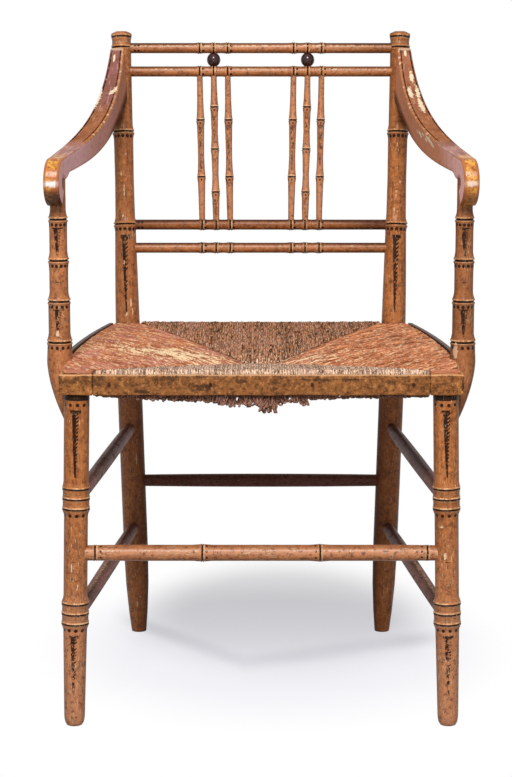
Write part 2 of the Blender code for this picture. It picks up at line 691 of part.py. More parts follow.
# Arm supports
def support_centre(side, z):
    """Axis of an arm support: upright, then drawn in and forward onto the front leg."""
    share = min(max((TAIL_TOP - z) / TAIL_LENGTH, 0), 1) ** TAIL_CURVE
    x = SUPPORT_HALF - TAIL_SHIFT_IN * share
    return Vector((side * x, SUPPORT_Y - TAIL_SHIFT_FORWARD * share, z))


def tail_radius(z):
    """Radius of the tapering tail below the lowest ring."""
    share = min(max((TAIL_TOP - z) / TAIL_LENGTH, 0), 1) ** TAIL_TAPER
    return SUPPORT_RING_RADII[-1] + (TAIL_TIP_RADIUS - SUPPORT_RING_RADII[-1]) * share


def support_profile():
    """Turned radii of an arm support, from the tip of its tail up to its tenon."""
    levels = [SUPPORT_LOW_RING_Z + SUPPORT_RING_STEP * count for count in (3, 2, 1, 0)]
    shoulder = ARM_UNDERSIDE - FIT_GAP
    tail_levels = [TAIL_BOTTOM + TAIL_LENGTH * station for station in TAIL_STATIONS]
    profile = [(z, tail_radius(z)) for z in tail_levels]
    profile += ring(levels[3], SUPPORT_RING_RADII[3])
    for upper in (2, 1, 0):
        waist = SUPPORT_WAIST_RADII[upper]
        profile += [(levels[upper + 1] + RING_FLARE, waist), (levels[upper] - RING_FLARE, waist)]
        profile += ring(levels[upper], SUPPORT_RING_RADII[upper])
    profile += [(levels[0] + RING_FLARE, SUPPORT_TOP_RADIUS), (shoulder, SUPPORT_TOP_RADIUS)]
    profile += [(shoulder, SUPPORT_TENON_RADIUS), (shoulder + SUPPORT_TENON_LENGTH, SUPPORT_TENON_RADIUS)]
    return profile


SUPPORT_PROFILE = support_profile()
SUPPORTS = {}
for word, side in SIDES.items():
    rows = [(support_centre(side, z), UPRIGHT, radius) for z, radius in SUPPORT_PROFILE]
    points, faces = loft(rows, POST_SIDES)
    support = solid(f"arm_support_{word}", points, faces, OCHRE_PAINT, support_centre(side, TAIL_BOTTOM))
    inner, outer = sorted((side * BLOCK_INNER_HALF, side * BLOCK_OUTER_HALF))
    notch = box(
        (inner - FIT_GAP, BLOCK_FRONT_Y - FIT_GAP, BLOCK_BOTTOM - FIT_GAP),
        (outer + FIT_GAP, BLOCK_BACK_Y + FIT_GAP, SEAT_HEIGHT + FIT_GAP),
    )
    cut(support, f"block_notch_{word}", [notch])
    scarf_levels = (TAIL_BOTTOM - MORTISE_MOUTH, BLOCK_BOTTOM)
    scarf = [(leg_centre(side, z), UPRIGHT, LEG_TOP_RADIUS + FIT_GAP) for z in scarf_levels]
    cut(support, f"leg_scarf_{word}", [loft(scarf, POST_SIDES)])
    SUPPORTS[word] = support


# Arms
def arm_share(y):
    """0 where an arm meets its post and 1 at the front of its roll."""
    front_y = SUPPORT_Y - ROLL_AHEAD - ROLL_RADIUS
    back_y = post_centre(1, CREST_Z).y - POST_BACK_RADIUS
    return (back_y - y) / (back_y - front_y)


def arm_swell(y):
    """How much the arm's inner face swells towards the sitter at a depth."""
    share = min(max(arm_share(y), 0), 1)
    return ARM_SWELL * math.sin(math.pi * share ** ARM_SWELL_SKEW)


def arm_half(y):
    """Half spacing of an arm's middle at a depth: splayed to the front, and drawn in by the swell."""
    return ARM_BACK_HALF + (ARM_FRONT_HALF - ARM_BACK_HALF) * arm_share(y) - arm_swell(y) / 2


def arm_thickness(y):
    """Thickness of the arm's board at a depth."""
    plain = ARM_BACK_THICKNESS + (ARM_FRONT_THICKNESS - ARM_BACK_THICKNESS) * arm_share(y)
    return plain + arm_swell(y)


def arm_flare(y):
    """How much further in the lower edge of the inner face stands near the post."""
    return ARM_FLARE * max(1 - arm_share(y) / ARM_FLARE_SHARE, 0) ** 2


def arm_outline():
    """Side view of an arm as (y, z): swept top edge, rolled end, and swept underside."""
    top_z = CREST_Z
    low_z = top_z - ARM_END_HEIGHT
    top_end = Vector((post_centre(1, top_z).y - POST_BACK_RADIUS - ARM_END_INSET, top_z, 0))
    low_end = Vector((post_centre(1, low_z).y - POST_BACK_RADIUS, low_z, 0))
    roll = Vector((SUPPORT_Y - ROLL_AHEAD, ARM_UNDERSIDE + ARM_DEPTH_AT_ROLL - ROLL_RADIUS, 0))
    roll_top = roll + Vector((0, ROLL_RADIUS, 0))
    roll_under = Vector((roll.x, ARM_UNDERSIDE, 0))
    span = top_end.x - roll.x
    fall = top_z - roll_top.y
    top = interpolate_bezier(
        top_end,
        top_end - Vector((TOP_PULL_BACK[0] * span, TOP_PULL_BACK[1] * fall, 0)),
        roll_top + Vector((TOP_PULL_ROLL[0] * span, TOP_PULL_ROLL[1] * fall, 0)),
        roll_top,
        ARM_CURVE_POINTS,
    )
    low_fall = low_z - ARM_UNDERSIDE
    under = interpolate_bezier(
        roll_under,
        roll_under + Vector((UNDER_PULL_ROLL[0] * span, UNDER_PULL_ROLL[1] * low_fall, 0)),
        low_end - Vector((UNDER_PULL_BACK[0] * span, UNDER_PULL_BACK[1] * low_fall, 0)),
        low_end,
        ARM_CURVE_POINTS,
    )
    inner_radius = ROLL_RADIUS - ARM_DEPTH_AT_ROLL
    angles = [math.pi / 2 + ROLL_TURN * step / (ROLL_POINTS - 1) for step in range(ROLL_POINTS)]
    turns = [Vector((math.cos(angle), math.sin(angle), 0)) for angle in angles]
    outer_roll = [(roll + ROLL_RADIUS * turn).to_2d() for turn in turns]
    inner_roll = [(roll + inner_radius * turn).to_2d() for turn in turns]
    into_post = POST_BACK_RADIUS - ARM_END_INSET
    outline = [(post_centre(1, top_z).y - ARM_END_INSET, top_z)]
    outline += [(p.x, p.y) for p in top] + outer_roll[1:]
    outline += list(reversed(inner_roll))[:-1] + [(p.x, p.y) for p in under]
    outline += [(low_end.x + into_post, low_z + ARM_END_TUCK * into_post)]
    return outline


def arm_solid(side):
    """The outline cut from a board, with its two faces shaped to the plan.

    The outline runs out along the top and back along the underside with as many points, so each
    face is a row of triangles between them.
    """
    outline = arm_outline()
    count = len(outline)
    points = []
    for direction in (-1, 1):
        for index, (y, z) in enumerate(outline):
            x = side * arm_half(y) + direction * arm_thickness(y) / 2
            if direction == -side and index >= count // 2:
                x += direction * arm_flare(y)
            points.append(Vector((x, y, z)))
    faces = []
    for index in range(count // 2 - 1):
        pair = count - 1 - index
        for face in ([index, index + 1, pair - 1], [index, pair - 1, pair]):
            faces.append(face)
            faces.append([count + corner for corner in reversed(face)])
    for index in range(count):
        following = (index + 1) % count
        faces.append([following, index, count + index, count + following])
    return points, faces


for word, side in SIDES.items():
    points, faces = arm_solid(side)
    arm = solid(f"arm_{word}", points, faces, OCHRE_PAINT)
    bevel(arm, ARM_BEVEL)
    cope_levels = [row for row in POST_PROFILE if row[0] > POST_RING_Z]
    cope = [(z, radius + FIT_GAP) for z, radius in cope_levels]
    cut(arm, f"post_cope_{word}", [loft(post_rows(side, cope), POST_SIDES)])
    tenon_top = ARM_UNDERSIDE + SUPPORT_TENON_LENGTH
    hole = [
        (support_centre(side, z), UPRIGHT, SUPPORT_TENON_RADIUS + FIT_GAP)
        for z in (ARM_UNDERSIDE - MORTISE_MOUTH, tenon_top)
    ]
    mortise(f"arm_{word}", hole, POST_SIDES)


# Back rails, spindles and beads
def spindle_offsets(middle):
    """Places of the three spindles of one group."""
    return [middle + SPINDLE_SPACING * count for count in (-1, 0, 1)]


def back_rail(name, z, group_half):
    """A turned rail between the posts, ringed where the spindles line up."""
    places = spindle_offsets(group_half)
    places = sorted([-place for place in places] + places)
    ends = [post_centre(side, z) for side in (-1, 1)]
    inset = radius_at(POST_PROFILE, z)
    reach = ends[1].x - inset - 3 * TENON_COLLAR
    body = [(-reach, BACK_RAIL_RADIUS)]
    for place_x in places:
        body += [(place_x - 2 * RAIL_RING_LIP, BACK_RAIL_RADIUS)]
        body += [(place_x - RAIL_RING_LIP, BACK_RAIL_RING_RADIUS)]
        body += [(place_x + RAIL_RING_LIP, BACK_RAIL_RING_RADIUS)]
        body += [(place_x + 2 * RAIL_RING_LIP, BACK_RAIL_RADIUS)]
    body += [(reach, BACK_RAIL_RADIUS)]
    hosts = ("back_post_left", "back_post_right")
    member(name, ends, hosts, (inset, inset), BACK_RAIL_TENON_RADIUS, body, RAIL_SIDES, OCHRE_PAINT)


back_rail("crest_rail", CREST_Z, SPINDLE_TOP_HALF)
back_rail("second_back_rail", SECOND_RAIL_Z, SPINDLE_TOP_HALF)
back_rail("third_back_rail", THIRD_RAIL_Z, SPINDLE_FOOT_HALF)
back_rail("fourth_back_rail", FOURTH_RAIL_Z, SPINDLE_FOOT_HALF)


def spindle(name, top_x, foot_x, ring_shares):
    """A slim turned spindle between the second and third back rails."""
    top = Vector((top_x, post_centre(1, SECOND_RAIL_Z).y, SECOND_RAIL_Z))
    foot = Vector((foot_x, post_centre(1, THIRD_RAIL_Z).y, THIRD_RAIL_Z))
    length = (top - foot).length
    lip = RING_LIP / 2
    body = []
    for share in ring_shares:
        level = (share - 0.5) * length
        body += [(level - 4 * lip, SPINDLE_RADIUS), (level - lip, SPINDLE_RING_RADIUS)]
        body += [(level + lip, SPINDLE_RING_RADIUS), (level + 4 * lip, SPINDLE_RADIUS)]
    hosts = ("second_back_rail", "third_back_rail")
    insets = (BACK_RAIL_RING_RADIUS, BACK_RAIL_RING_RADIUS)
    member(name, (top, foot), hosts, insets, SPINDLE_TENON_RADIUS, body, SPINDLE_SIDES, OCHRE_PAINT,
           SPINDLE_TENON_DEPTH)


def bead(name, x):
    """A dark turned bead on two small tenons between the crest and second rails."""
    top = Vector((x, post_centre(1, CREST_Z).y, CREST_Z))
    foot = Vector((x, post_centre(1, SECOND_RAIL_Z).y, SECOND_RAIL_Z))
    half_height = (top - foot).length / 2 - BACK_RAIL_RING_RADIUS - FIT_GAP
    direction = (foot - top).normalized()
    length = 2 * (half_height + FIT_GAP + BEAD_TENON_DEPTH)
    start = top + direction * (BACK_RAIL_RING_RADIUS - BEAD_TENON_DEPTH)
    profile = [(0, BEAD_TENON_RADIUS)]
    tip = math.asin(BEAD_TENON_RADIUS / BEAD_RADIUS)
    for step in range(BEAD_STEPS + 1):
        angle = tip + (math.pi - 2 * tip) * step / BEAD_STEPS
        profile.append((length / 2 - half_height * math.cos(angle), BEAD_RADIUS * math.sin(angle)))
    profile += [(length, BEAD_TENON_RADIUS)]
    points, faces = loft(straight_rows(start, direction, profile), RAIL_SIDES)
    solid(name, points, faces, DARK_BEAD, start)
    bore = BEAD_TENON_RADIUS + FIT_GAP
    mouth = BEAD_TENON_DEPTH + MORTISE_MOUTH
    mortise("crest_rail", straight_rows(start, direction, [(-FIT_GAP, bore), (mouth, bore)]), RAIL_SIDES)
    hole = [(length - mouth, bore), (length + FIT_GAP, bore)]
    mortise("second_back_rail", straight_rows(start, direction, hole), RAIL_SIDES)


for word, side in SIDES.items():
    tops = spindle_offsets(SPINDLE_TOP_HALF)
    feet = spindle_offsets(SPINDLE_FOOT_HALF)
    for order, top_x, foot_x in zip(("inner", "centre", "outer"), tops, feet):
        shares = CENTRE_SPINDLE_RINGS if order == "centre" else OUTER_SPINDLE_RINGS
        spindle(f"spindle_{word}_{order}", side * top_x, side * foot_x, shares)
    bead(f"bead_{word}", side * SPINDLE_TOP_HALF)


# Stretchers
ring_lip = RING_LIP / 2
front_body = [(-FRONT_STRETCHER_BODY_HALF, FRONT_STRETCHER_RADIUS)]
for place_x in (-FRONT_STRETCHER_RING_HALF, FRONT_STRETCHER_RING_HALF):
    front_body += [(place_x - 4 * ring_lip, FRONT_STRETCHER_RADIUS)]
    front_body += ring(place_x, FRONT_STRETCHER_RING_RADIUS, ring_lip)
    front_body += [(place_x + 4 * ring_lip, FRONT_STRETCHER_RADIUS)]
front_body += [(FRONT_STRETCHER_BODY_HALF, FRONT_STRETCHER_RADIUS)]
leg_inset = radius_at(LEG_PROFILE, FRONT_STRETCHER_HEIGHT)
member(
    "front_stretcher",
    [leg_centre(side, FRONT_STRETCHER_HEIGHT) for side in (-1, 1)],
    ("front_leg_left", "front_leg_right"),
    (leg_inset, leg_inset),
    STRETCHER_TENON_RADIUS,
    front_body,
    RAIL_SIDES,
    OCHRE_PAINT,
)


def plain_stretcher(name, ends, hosts, insets):
    """A plain stretcher that swells a little to its middle."""
    length = (ends[1] - ends[0]).length
    body = [(share * length, PLAIN_STRETCHER_RADIUS * swell) for share, swell in PLAIN_STRETCHER_SWELL]
    member(name, ends, hosts, insets, STRETCHER_TENON_RADIUS, body, RAIL_SIDES, BROWN_PAINT)


post_inset = radius_at(POST_PROFILE, BACK_STRETCHER_HEIGHT)
plain_stretcher(
    "back_stretcher",
    [post_centre(side, BACK_STRETCHER_HEIGHT) for side in (-1, 1)],
    ("back_post_left", "back_post_right"),
    (post_inset, post_inset),
)
SIDE_STRETCHERS = {
    "upper": (UPPER_SIDE_FRONT_HEIGHT, UPPER_SIDE_BACK_HEIGHT),
    "lower": (LOWER_SIDE_FRONT_HEIGHT, LOWER_SIDE_BACK_HEIGHT),
}
for word, side in SIDES.items():
    for level, (front_z, back_z) in SIDE_STRETCHERS.items():
        plain_stretcher(
            f"{word}_{level}_stretcher",
            (leg_centre(side, front_z), post_centre(side, back_z)),
            (f"front_leg_{word}", f"back_post_{word}"),
            (radius_at(LEG_PROFILE, front_z), radius_at(POST_PROFILE, back_z)),
        )

# Nails through the edge strips into the seat rails
def nail(name, head, direction, length, hosts):
    """A cut nail whose head stands on the strip; only its shank needs a hole."""
    profile = [(-NAIL_RADIUS - FIT_GAP, NAIL_HEAD_RADIUS), (-FIT_GAP, NAIL_HEAD_RADIUS)]
    profile += [(-FIT_GAP, NAIL_RADIUS), (length, NAIL_RADIUS)]
    points, faces = loft(straight_rows(head, direction, profile), PIN_SIDES)
    solid(name, points, faces, IRON, head)
    bore = NAIL_RADIUS + FIT_GAP
    hole = [(-NAIL_HEAD_RADIUS, bore), (length + FIT_GAP, bore)]
    for host in hosts:
        mortise(host, straight_rows(head, direction, hole), PIN_SIDES)


for count in range(FRONT_NAIL_COUNT):
    x = (count - (FRONT_NAIL_COUNT - 1) / 2) * FRONT_NAIL_SPACING
    head = Vector((x, BLOCK_FRONT_Y, SEAT_RAIL_Z))
    nail(f"front_strip_nail_{count + 1}", head, Vector((0, 1, 0)), FRONT_NAIL_LENGTH,
         ("front_edge_strip", "rush_seat", "front_seat_rail"))
for word, side in SIDES.items():
    front, back = SIDE_RAIL_ENDS[word]
    run = (back - front).normalized()
    inward = run.cross(UPRIGHT) * -side
    for count in range(SIDE_NAIL_COUNT):
        y = SIDE_STRIP_MIDDLE_Y + (count - (SIDE_NAIL_COUNT - 1) / 2) * SIDE_NAIL_SPACING
        x, y = side_strip_face(side, y, STRIP_THICKNESS)
        nail(f"{word}_strip_nail_{count + 1}", Vector((x, y, SEAT_RAIL_Z)), inward, SIDE_NAIL_LENGTH,
             (f"{word}_edge_strip", "rush_seat", f"{word}_seat_rail"))

# Screws from the posts into the arms and from the tails into the legs, and the pegs under the rolls
for word, side in SIDES.items():
    screw_z = SECOND_RAIL_Z - ARM_SCREW_BELOW_SECOND_RAIL
    back_of_post = post_centre(side, screw_z) + Vector((0, radius_at(POST_PROFILE, screw_z), 0))
    countersunk = [(0, SCREW_HEAD_RADIUS), (SCREW_HEAD_RADIUS, SCREW_RADIUS)]
    arm_screw = countersunk + [(ARM_SCREW_LENGTH, SCREW_RADIUS)]
    pin(f"arm_screw_{word}", back_of_post, Vector((0, -1, 0)), arm_screw,
        (f"back_post_{word}", f"arm_{word}"), IRON)
    scarf_z = SEAT_HEIGHT - SCARF_SCREW_DROP
    tail_point = support_centre(side, scarf_z)
    towards_leg = leg_centre(side, scarf_z) - tail_point
    towards_leg.normalize()
    tail_face = tail_point - towards_leg * (tail_radius(scarf_z) - FIT_GAP)
    scarf_screw = countersunk + [(SCARF_SCREW_LENGTH, SCREW_RADIUS)]
    pin(f"scarf_screw_{word}", tail_face, towards_leg, scarf_screw,
        (f"arm_support_{word}", f"front_leg_{word}"), IRON)
    peg_z = SUPPORT_LOW_RING_Z + 3 * SUPPORT_RING_STEP + PEG_ABOVE_RING
    peg_head = support_centre(side, peg_z) - Vector((0, SUPPORT_TOP_RADIUS, 0))
    peg = [(-PEG_RADIUS / 3, PEG_RADIUS), (PEG_LENGTH, PEG_RADIUS)]
    pin(f"arm_peg_{word}", peg_head, Vector((0, 1, 0)), peg, (f"arm_support_{word}",), BARE_WOOD)

# Room in the rush for what it is wound round, then every bored hole
support_room = []
block_room = []
post_room = []
for side in (-1, 1):
    rows = [
        (support_centre(side, z), UPRIGHT, radius + RUSH_CLEARANCE)
        for z, radius in SUPPORT_PROFILE
        if z < SUPPORT_LOW_RING_Z
    ]
    support_room.append(loft(rows, POST_SIDES))
    inner, outer = sorted((side * BLOCK_INNER_HALF, side * (RUSH_FRONT_HALF + RUSH_SHOULDER)))
    block_room.append(box(
        (inner - FIT_GAP, BLOCK_FRONT_Y - FIT_GAP, SEAT_HEIGHT - 3 * RUSH_BELLY),
        (outer + FIT_GAP, BLOCK_BACK_Y + FIT_GAP, SEAT_HEIGHT + FIT_GAP),
    ))
    corner_x, corner_y = seam_corner(False)
    inner, outer = sorted((side * corner_x, side * (RUSH_FRONT_HALF + RUSH_SHOULDER)))
    post_room.append(box(
        (inner, corner_y, SEAT_HEIGHT - 3 * RUSH_BELLY),
        (outer, rush_back_y() + RUSH_SHOULDER, SEAT_HEIGHT + 3 * RUSH_SIDE_RISE),
    ))
cut(rush_seat, "rush_support_room", support_room)
cut(rush_seat, "rush_block_room", block_room)
cut(rush_seat, "rush_post_room", post_room)
tunnel_radius = SEAT_RAIL_RADIUS + FIT_GAP
tunnels = []
for ends in (
    [Vector((side * BLOCK_OUTER_HALF, FRONT_RAIL_Y, SEAT_RAIL_Z)) for side in (-1, 1)],
    [post_centre(side, SEAT_RAIL_Z) for side in (-1, 1)],
    *SIDE_RAIL_ENDS.values(),
):
    direction = (ends[1] - ends[0]).normalized()
    length = (ends[1] - ends[0]).length
    bore = [(-TENON_COLLAR, tunnel_radius), (length + TENON_COLLAR, tunnel_radius)]
    tunnels.append(loft(straight_rows(ends[0], direction, bore), RAIL_SIDES))
cut(rush_seat, "rush_rail_room", tunnels)

for host, holes in MORTISES.items():
    cut(bpy.data.objects[host], f"{host}_bores", holes)
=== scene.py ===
# %% [markdown]
# # Dressing a bamboo-turned armchair
# The frame that is loaded here holds every stick, board and screw of the chair as plain solids at
# their real size. This lesson lays the finish over them: turned rings with painted lines and dots,
# worn ochre paint, and a seat of twisted rush. Before each step a note says what the piece is on the
# chair, how it could be made in Blender, and why it is made the way it is.

# %% Load the frame
import json

import bpy
import numpy as np
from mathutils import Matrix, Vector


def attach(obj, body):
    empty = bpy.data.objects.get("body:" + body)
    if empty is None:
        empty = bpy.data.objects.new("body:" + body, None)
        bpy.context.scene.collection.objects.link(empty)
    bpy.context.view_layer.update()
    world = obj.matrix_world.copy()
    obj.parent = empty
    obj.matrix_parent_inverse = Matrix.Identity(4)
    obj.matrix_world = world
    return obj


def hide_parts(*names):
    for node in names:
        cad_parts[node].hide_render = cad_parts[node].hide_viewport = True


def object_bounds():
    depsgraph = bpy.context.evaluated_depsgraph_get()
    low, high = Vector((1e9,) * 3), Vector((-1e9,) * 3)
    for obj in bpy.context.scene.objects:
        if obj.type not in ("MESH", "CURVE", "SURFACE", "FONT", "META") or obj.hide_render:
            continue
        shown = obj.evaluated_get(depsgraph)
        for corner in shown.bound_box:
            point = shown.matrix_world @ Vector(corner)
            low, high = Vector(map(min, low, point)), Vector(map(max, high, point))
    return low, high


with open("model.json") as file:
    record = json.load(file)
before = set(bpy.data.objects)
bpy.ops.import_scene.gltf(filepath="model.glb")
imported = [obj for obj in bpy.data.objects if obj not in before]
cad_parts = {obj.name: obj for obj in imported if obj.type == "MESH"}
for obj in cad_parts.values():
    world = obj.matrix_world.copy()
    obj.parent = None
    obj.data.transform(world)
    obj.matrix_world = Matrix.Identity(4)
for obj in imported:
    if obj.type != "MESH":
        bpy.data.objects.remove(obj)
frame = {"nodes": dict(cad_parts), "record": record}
CAD_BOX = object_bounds()
NODES = frame["nodes"]
scene = bpy.context.scene
print("frame:", len(NODES), "nodes, from", tuple(CAD_BOX[0]), "to", tuple(CAD_BOX[1]))

# %% [markdown]
# ## The camera
# The picture was taken from the front, a little above the seat, with a long lens. A camera could be
# aimed by hand until the picture fits. Here its height, distance and tilt were worked out from the
# feet, posts and rails, so the frame falls into place and nothing has to be nudged.

# %% Camera
camera = bpy.data.objects.new("camera", bpy.data.cameras.new("camera"))
camera.location = (-0.0065, -2.758, 0.834)
camera.rotation_euler = (np.radians(90 - 9.16), 0, 0)
camera.data.sensor_fit = "VERTICAL"
camera.data.sensor_height = 36
camera.data.lens = 97.3
scene.collection.objects.link(camera)
scene.camera = camera
scene.view_settings.view_transform = "Standard"
print("camera: lens", camera.data.lens, "mm at", tuple(camera.location))

# %% [markdown]
# ## Shader arithmetic
# A finish is a chain of small sums on sockets. Wiring Math nodes one by one hides the sum, so a small
# class wraps a socket and lets Python's own operators add the nodes. Colours are never sent through
# Math nodes, which would turn them grey: they are laid over each other with Mix nodes.


# %% A socket that does sums
class Signal:
    """A shader socket in Python arithmetic: each operator adds one Math node to its tree."""

    def __init__(self, tree, socket=None):
        self.tree = tree
        self.socket = socket

    def node(self, kind, settings=None, sockets=None, output=0):
        """Adds a node of a kind, sets its settings, fills or links its sockets, and gives one output."""
        made = self.tree.nodes.new(kind)
        for name, value in (settings or {}).items():
            setattr(made, name, value)
        for name, value in (sockets or {}).items():
            if isinstance(value, Signal):
                self.tree.links.new(value.socket, made.inputs[name])
            else:
                made.inputs[name].default_value = value
        return Signal(self.tree, made.outputs[output])

    def math(self, operation, *others):
        """One Math node on this value and others."""
        return self.node("ShaderNodeMath", {"operation": operation}, dict(enumerate((self, *others))))

    def __add__(self, other):
        return self.math("ADD", other)

    def __mul__(self, other):
        return self.math("MULTIPLY", other)

    def __sub__(self, other):
        return self.math("SUBTRACT", other)

    def __truediv__(self, other):
        return self.math("DIVIDE", other)

    def __pow__(self, other):
        return self.math("POWER", other)

    def __rsub__(self, other):
        return self * -1 + other

    __radd__ = __add__
    __rmul__ = __mul__

    def __abs__(self):
        return self.math("ABSOLUTE")

    def __or__(self, other):
        """The larger of two values."""
        return self.math("MAXIMUM", other)

    def between(self, low, high):
        """A smooth step from 0 at low to 1 at high; with low above high it falls instead."""
        settings = {"interpolation_type": "SMOOTHSTEP"}
        return self.node("ShaderNodeMapRange", settings, {0: self, 1: low, 2: high, 3: 0.0, 4: 1.0})

    def over(self, under, colour):
        """A colour laid over another by this amount."""
        return self.node("ShaderNodeMix", {"data_type": "RGBA"}, {0: self, 6: under, 7: colour}, 2)

    def noise(self, scale, detail=3.0, roughness=0.55):
        """Noise of a scale, read at this vector."""
        sockets = {"Vector": self, "Scale": scale, "Detail": detail, "Roughness": roughness}
        return self.node("ShaderNodeTexNoise", None, sockets)


def rgb(red, green, blue):
    """A colour as a socket takes it."""
    return (red, green, blue, 1.0)


def object_place(make):
    """The place on the object, in its own coordinates."""
    return make.node("ShaderNodeTexCoord", output=3)


def parts(make, vector):
    """The x, y and z of a vector."""
    split = make.node("ShaderNodeSeparateXYZ", None, {0: vector}).socket.node
    return [Signal(make.tree, socket) for socket in split.outputs]


def feed(shader, **signals):
    """Links values or colours that change over the surface to the shader's sockets."""
    for socket, signal in signals.items():
        signal.tree.links.new(signal.socket, shader.inputs[socket.replace("_", " ")])


print("shader arithmetic ready")

# %% [markdown]
# ## Floor, world and lamps
# The chair stands on a pale sweep that fades to white, with a soft shadow between its legs. A real
# studio has a paper roll for that. Here the floor is a plain sheet whose material turns into white
# light away from the chair, only for rays that the camera or a gloss sends, so the object isn't lit
# any brighter by it. The shadow's shape is painted into the floor: a dark oval core, a paler lilac
# skirt and a soft line under the stretchers. A large lamp overhead and a weaker one in front give
# soft studio light.

# %% Floor
FLOOR_HALF = 6.0
SHADOW_CORE = (0.033, 0.30, 0.27, 0.39, 0.50)
SHADOW_SKIRT = (0.02, 0.14, 0.36, 0.43, 0.50)
CORE_LIFT = 0.55
SKIRT_LIFT = 0.86
# A painted shadow line under the stretchers: the foot of its V, the slopes of its arms, its middle in x.
SHADOW_LINE_FOOT = (-0.022, 0.042)
SHADOW_LINE_SLOPES = (-1.27, 0.46)
SHADOW_LINE_MIDDLE = 0.03


def seen_directly(make):
    """1 for rays from the camera, off a gloss or through glass, 0 for light that bounces about."""
    path = make.node("ShaderNodeLightPath")
    outputs = path.socket.node.outputs
    kinds = [Signal(make.tree, outputs[name]) for name in ("Is Glossy Ray", "Is Transmission Ray")]
    return path | kinds[0] | kinds[1]


def floor_sheet():
    """A square sheet on z = 0."""
    corners = np.array([(-1, -1), (1, -1), (1, 1), (-1, 1)]) * FLOOR_HALF
    mesh = bpy.data.meshes.new("floor")
    mesh.from_pydata(np.c_[corners, np.zeros(4)].tolist(), [], [(0, 1, 2, 3)])
    made = bpy.data.objects.new("floor", mesh)
    scene.collection.objects.link(made)
    return made


def oval(x, y, middle_x, middle_y, half_x, half_y, start):
    """0 within a share of an oval on the floor, rising to 1 at its rim."""
    across = (x - middle_x) / half_x
    along = (y - middle_y) / half_y
    return (across * across + along * along).math("SQRT").between(start, 1.0)


def floor_finish():
    """Matt paper under a painted shadow that turns to plain white light: a dark core, then a pale skirt."""
    made = bpy.data.materials.new("floor_paper")
    made.use_nodes = True
    make = Signal(made.node_tree)
    here = object_place(make)
    x, y = parts(make, here)[:2]
    # The painted shadow under the chair: a darker core oval and a paler lilac skirt around it.
    shadow_core = oval(x, y, *SHADOW_CORE)
    shadow_skirt = oval(x, y, *SHADOW_SKIRT)
    paper = here.noise(40.0).over(rgb(0.65, 0.64, 0.73), rgb(0.69, 0.68, 0.77))
    direct = seen_directly(make)
    matt = make.node("ShaderNodeBsdfDiffuse", None, {"Color": direct.over(rgb(0.30, 0.29, 0.31), paper)})
    shadow_tint = shadow_skirt.over(rgb(0.966, 0.966, 1.0), rgb(1, 1, 1))
    white = make.node("ShaderNodeEmission", None, {"Color": shadow_tint, "Strength": 1.0})
    # A soft painted shadow line in a V under the stretchers: fold is the line and dip is how much it darkens.
    aside = x - SHADOW_LINE_FOOT[0]
    fold = (aside * SHADOW_LINE_SLOPES[0] | aside * SHADOW_LINE_SLOPES[1]) + SHADOW_LINE_FOOT[1]
    dip = abs(y - fold).between(0.060, 0.0) * abs(x - SHADOW_LINE_MIDDLE).between(0.26, 0.19) * (0.12 + shadow_core * 0.10)
    lift = shadow_core * (SKIRT_LIFT - CORE_LIFT) + shadow_skirt * (1.0 - SKIRT_LIFT) + CORE_LIFT
    surface = make.node("ShaderNodeMixShader", None, {0: (lift - dip) * direct, 1: matt, 2: white})
    output = made.node_tree.nodes["Material Output"]
    made.node_tree.links.new(surface.socket, output.inputs["Surface"])
    return made


floor = floor_sheet()
floor.data.materials.append(floor_finish())
print("floor:", floor.name, 2 * FLOOR_HALF, "m square")

# %% World and lamps
WORLD_LIGHT = 0.17


def studio_world():
    """White where it is seen, and a weaker white where it only lights the chair."""
    world = bpy.data.worlds.new("studio")
    world.use_nodes = True
    make = Signal(world.node_tree)
    strength = seen_directly(make) * (1.0 - WORLD_LIGHT) + WORLD_LIGHT
    background = world.node_tree.nodes["Background"]
    background.inputs["Color"].default_value = rgb(1, 1, 1)
    feed(background, Strength=strength)
    scene.world = world


def soft_lamp(name, place, aim, size, watts):
    """A square area lamp at a place, turned to a point."""
    lamp = bpy.data.lights.new(name, "AREA")
    lamp.shape = "SQUARE"
    lamp.size = size
    lamp.energy = watts
    holder = bpy.data.objects.new(name, lamp)
    holder.location = place
    toward = Vector(aim) - Vector(place)
    holder.rotation_euler = toward.to_track_quat("-Z", "Y").to_euler()
    scene.collection.objects.link(holder)


studio_world()
soft_lamp("key_lamp", (-0.2, -3.3, 3.5), (0, 0, 0.45), 1.7, 215)
soft_lamp("level_lamp", (0, -2.6, 0.58), (0, 0, 0.65), 0.25, 5)
print("world light", WORLD_LIGHT, "and two lamps")

# %% [markdown]
# ## From numbers to a mesh
# Every stick of the chair is a ring of points carried along an axis, so one helper can turn a grid of
# points into a closed tube. Its rows run along the piece and its columns round it. The helper also
# stores plain numbers on the points, such as the distance to the nearest painted ring, which the
# paint reads later. That keeps the painted lines exactly on the turned rings.


# %% Closed tubes with stored numbers
def tube_faces(rows, columns):
    """Quads between neighbouring columns round a tube and neighbouring rows along it, and its two ends."""
    row, column = np.mgrid[0:rows - 1, 0:columns]
    after = (column + 1) % columns
    below = row * columns
    above = below + columns
    quads = np.stack([below + column, below + after, above + after, above + column], -1)
    first = list(range(columns))[::-1]
    last = list(range((rows - 1) * columns, rows * columns))
    return quads.reshape(-1, 4).tolist() + [first, last]


def tube_uv(lengths, columns):
    """UV of each corner of a tube's quads: u runs once round, v is the length in metres."""
    row, column = np.mgrid[0:len(lengths) - 1, 0:columns]
    across = np.stack([column, column + 1, column + 1, column], -1) / columns
    along = np.stack([lengths[row], lengths[row], lengths[row + 1], lengths[row + 1]], -1)
    return np.stack([across, along], -1).reshape(-1, 2)


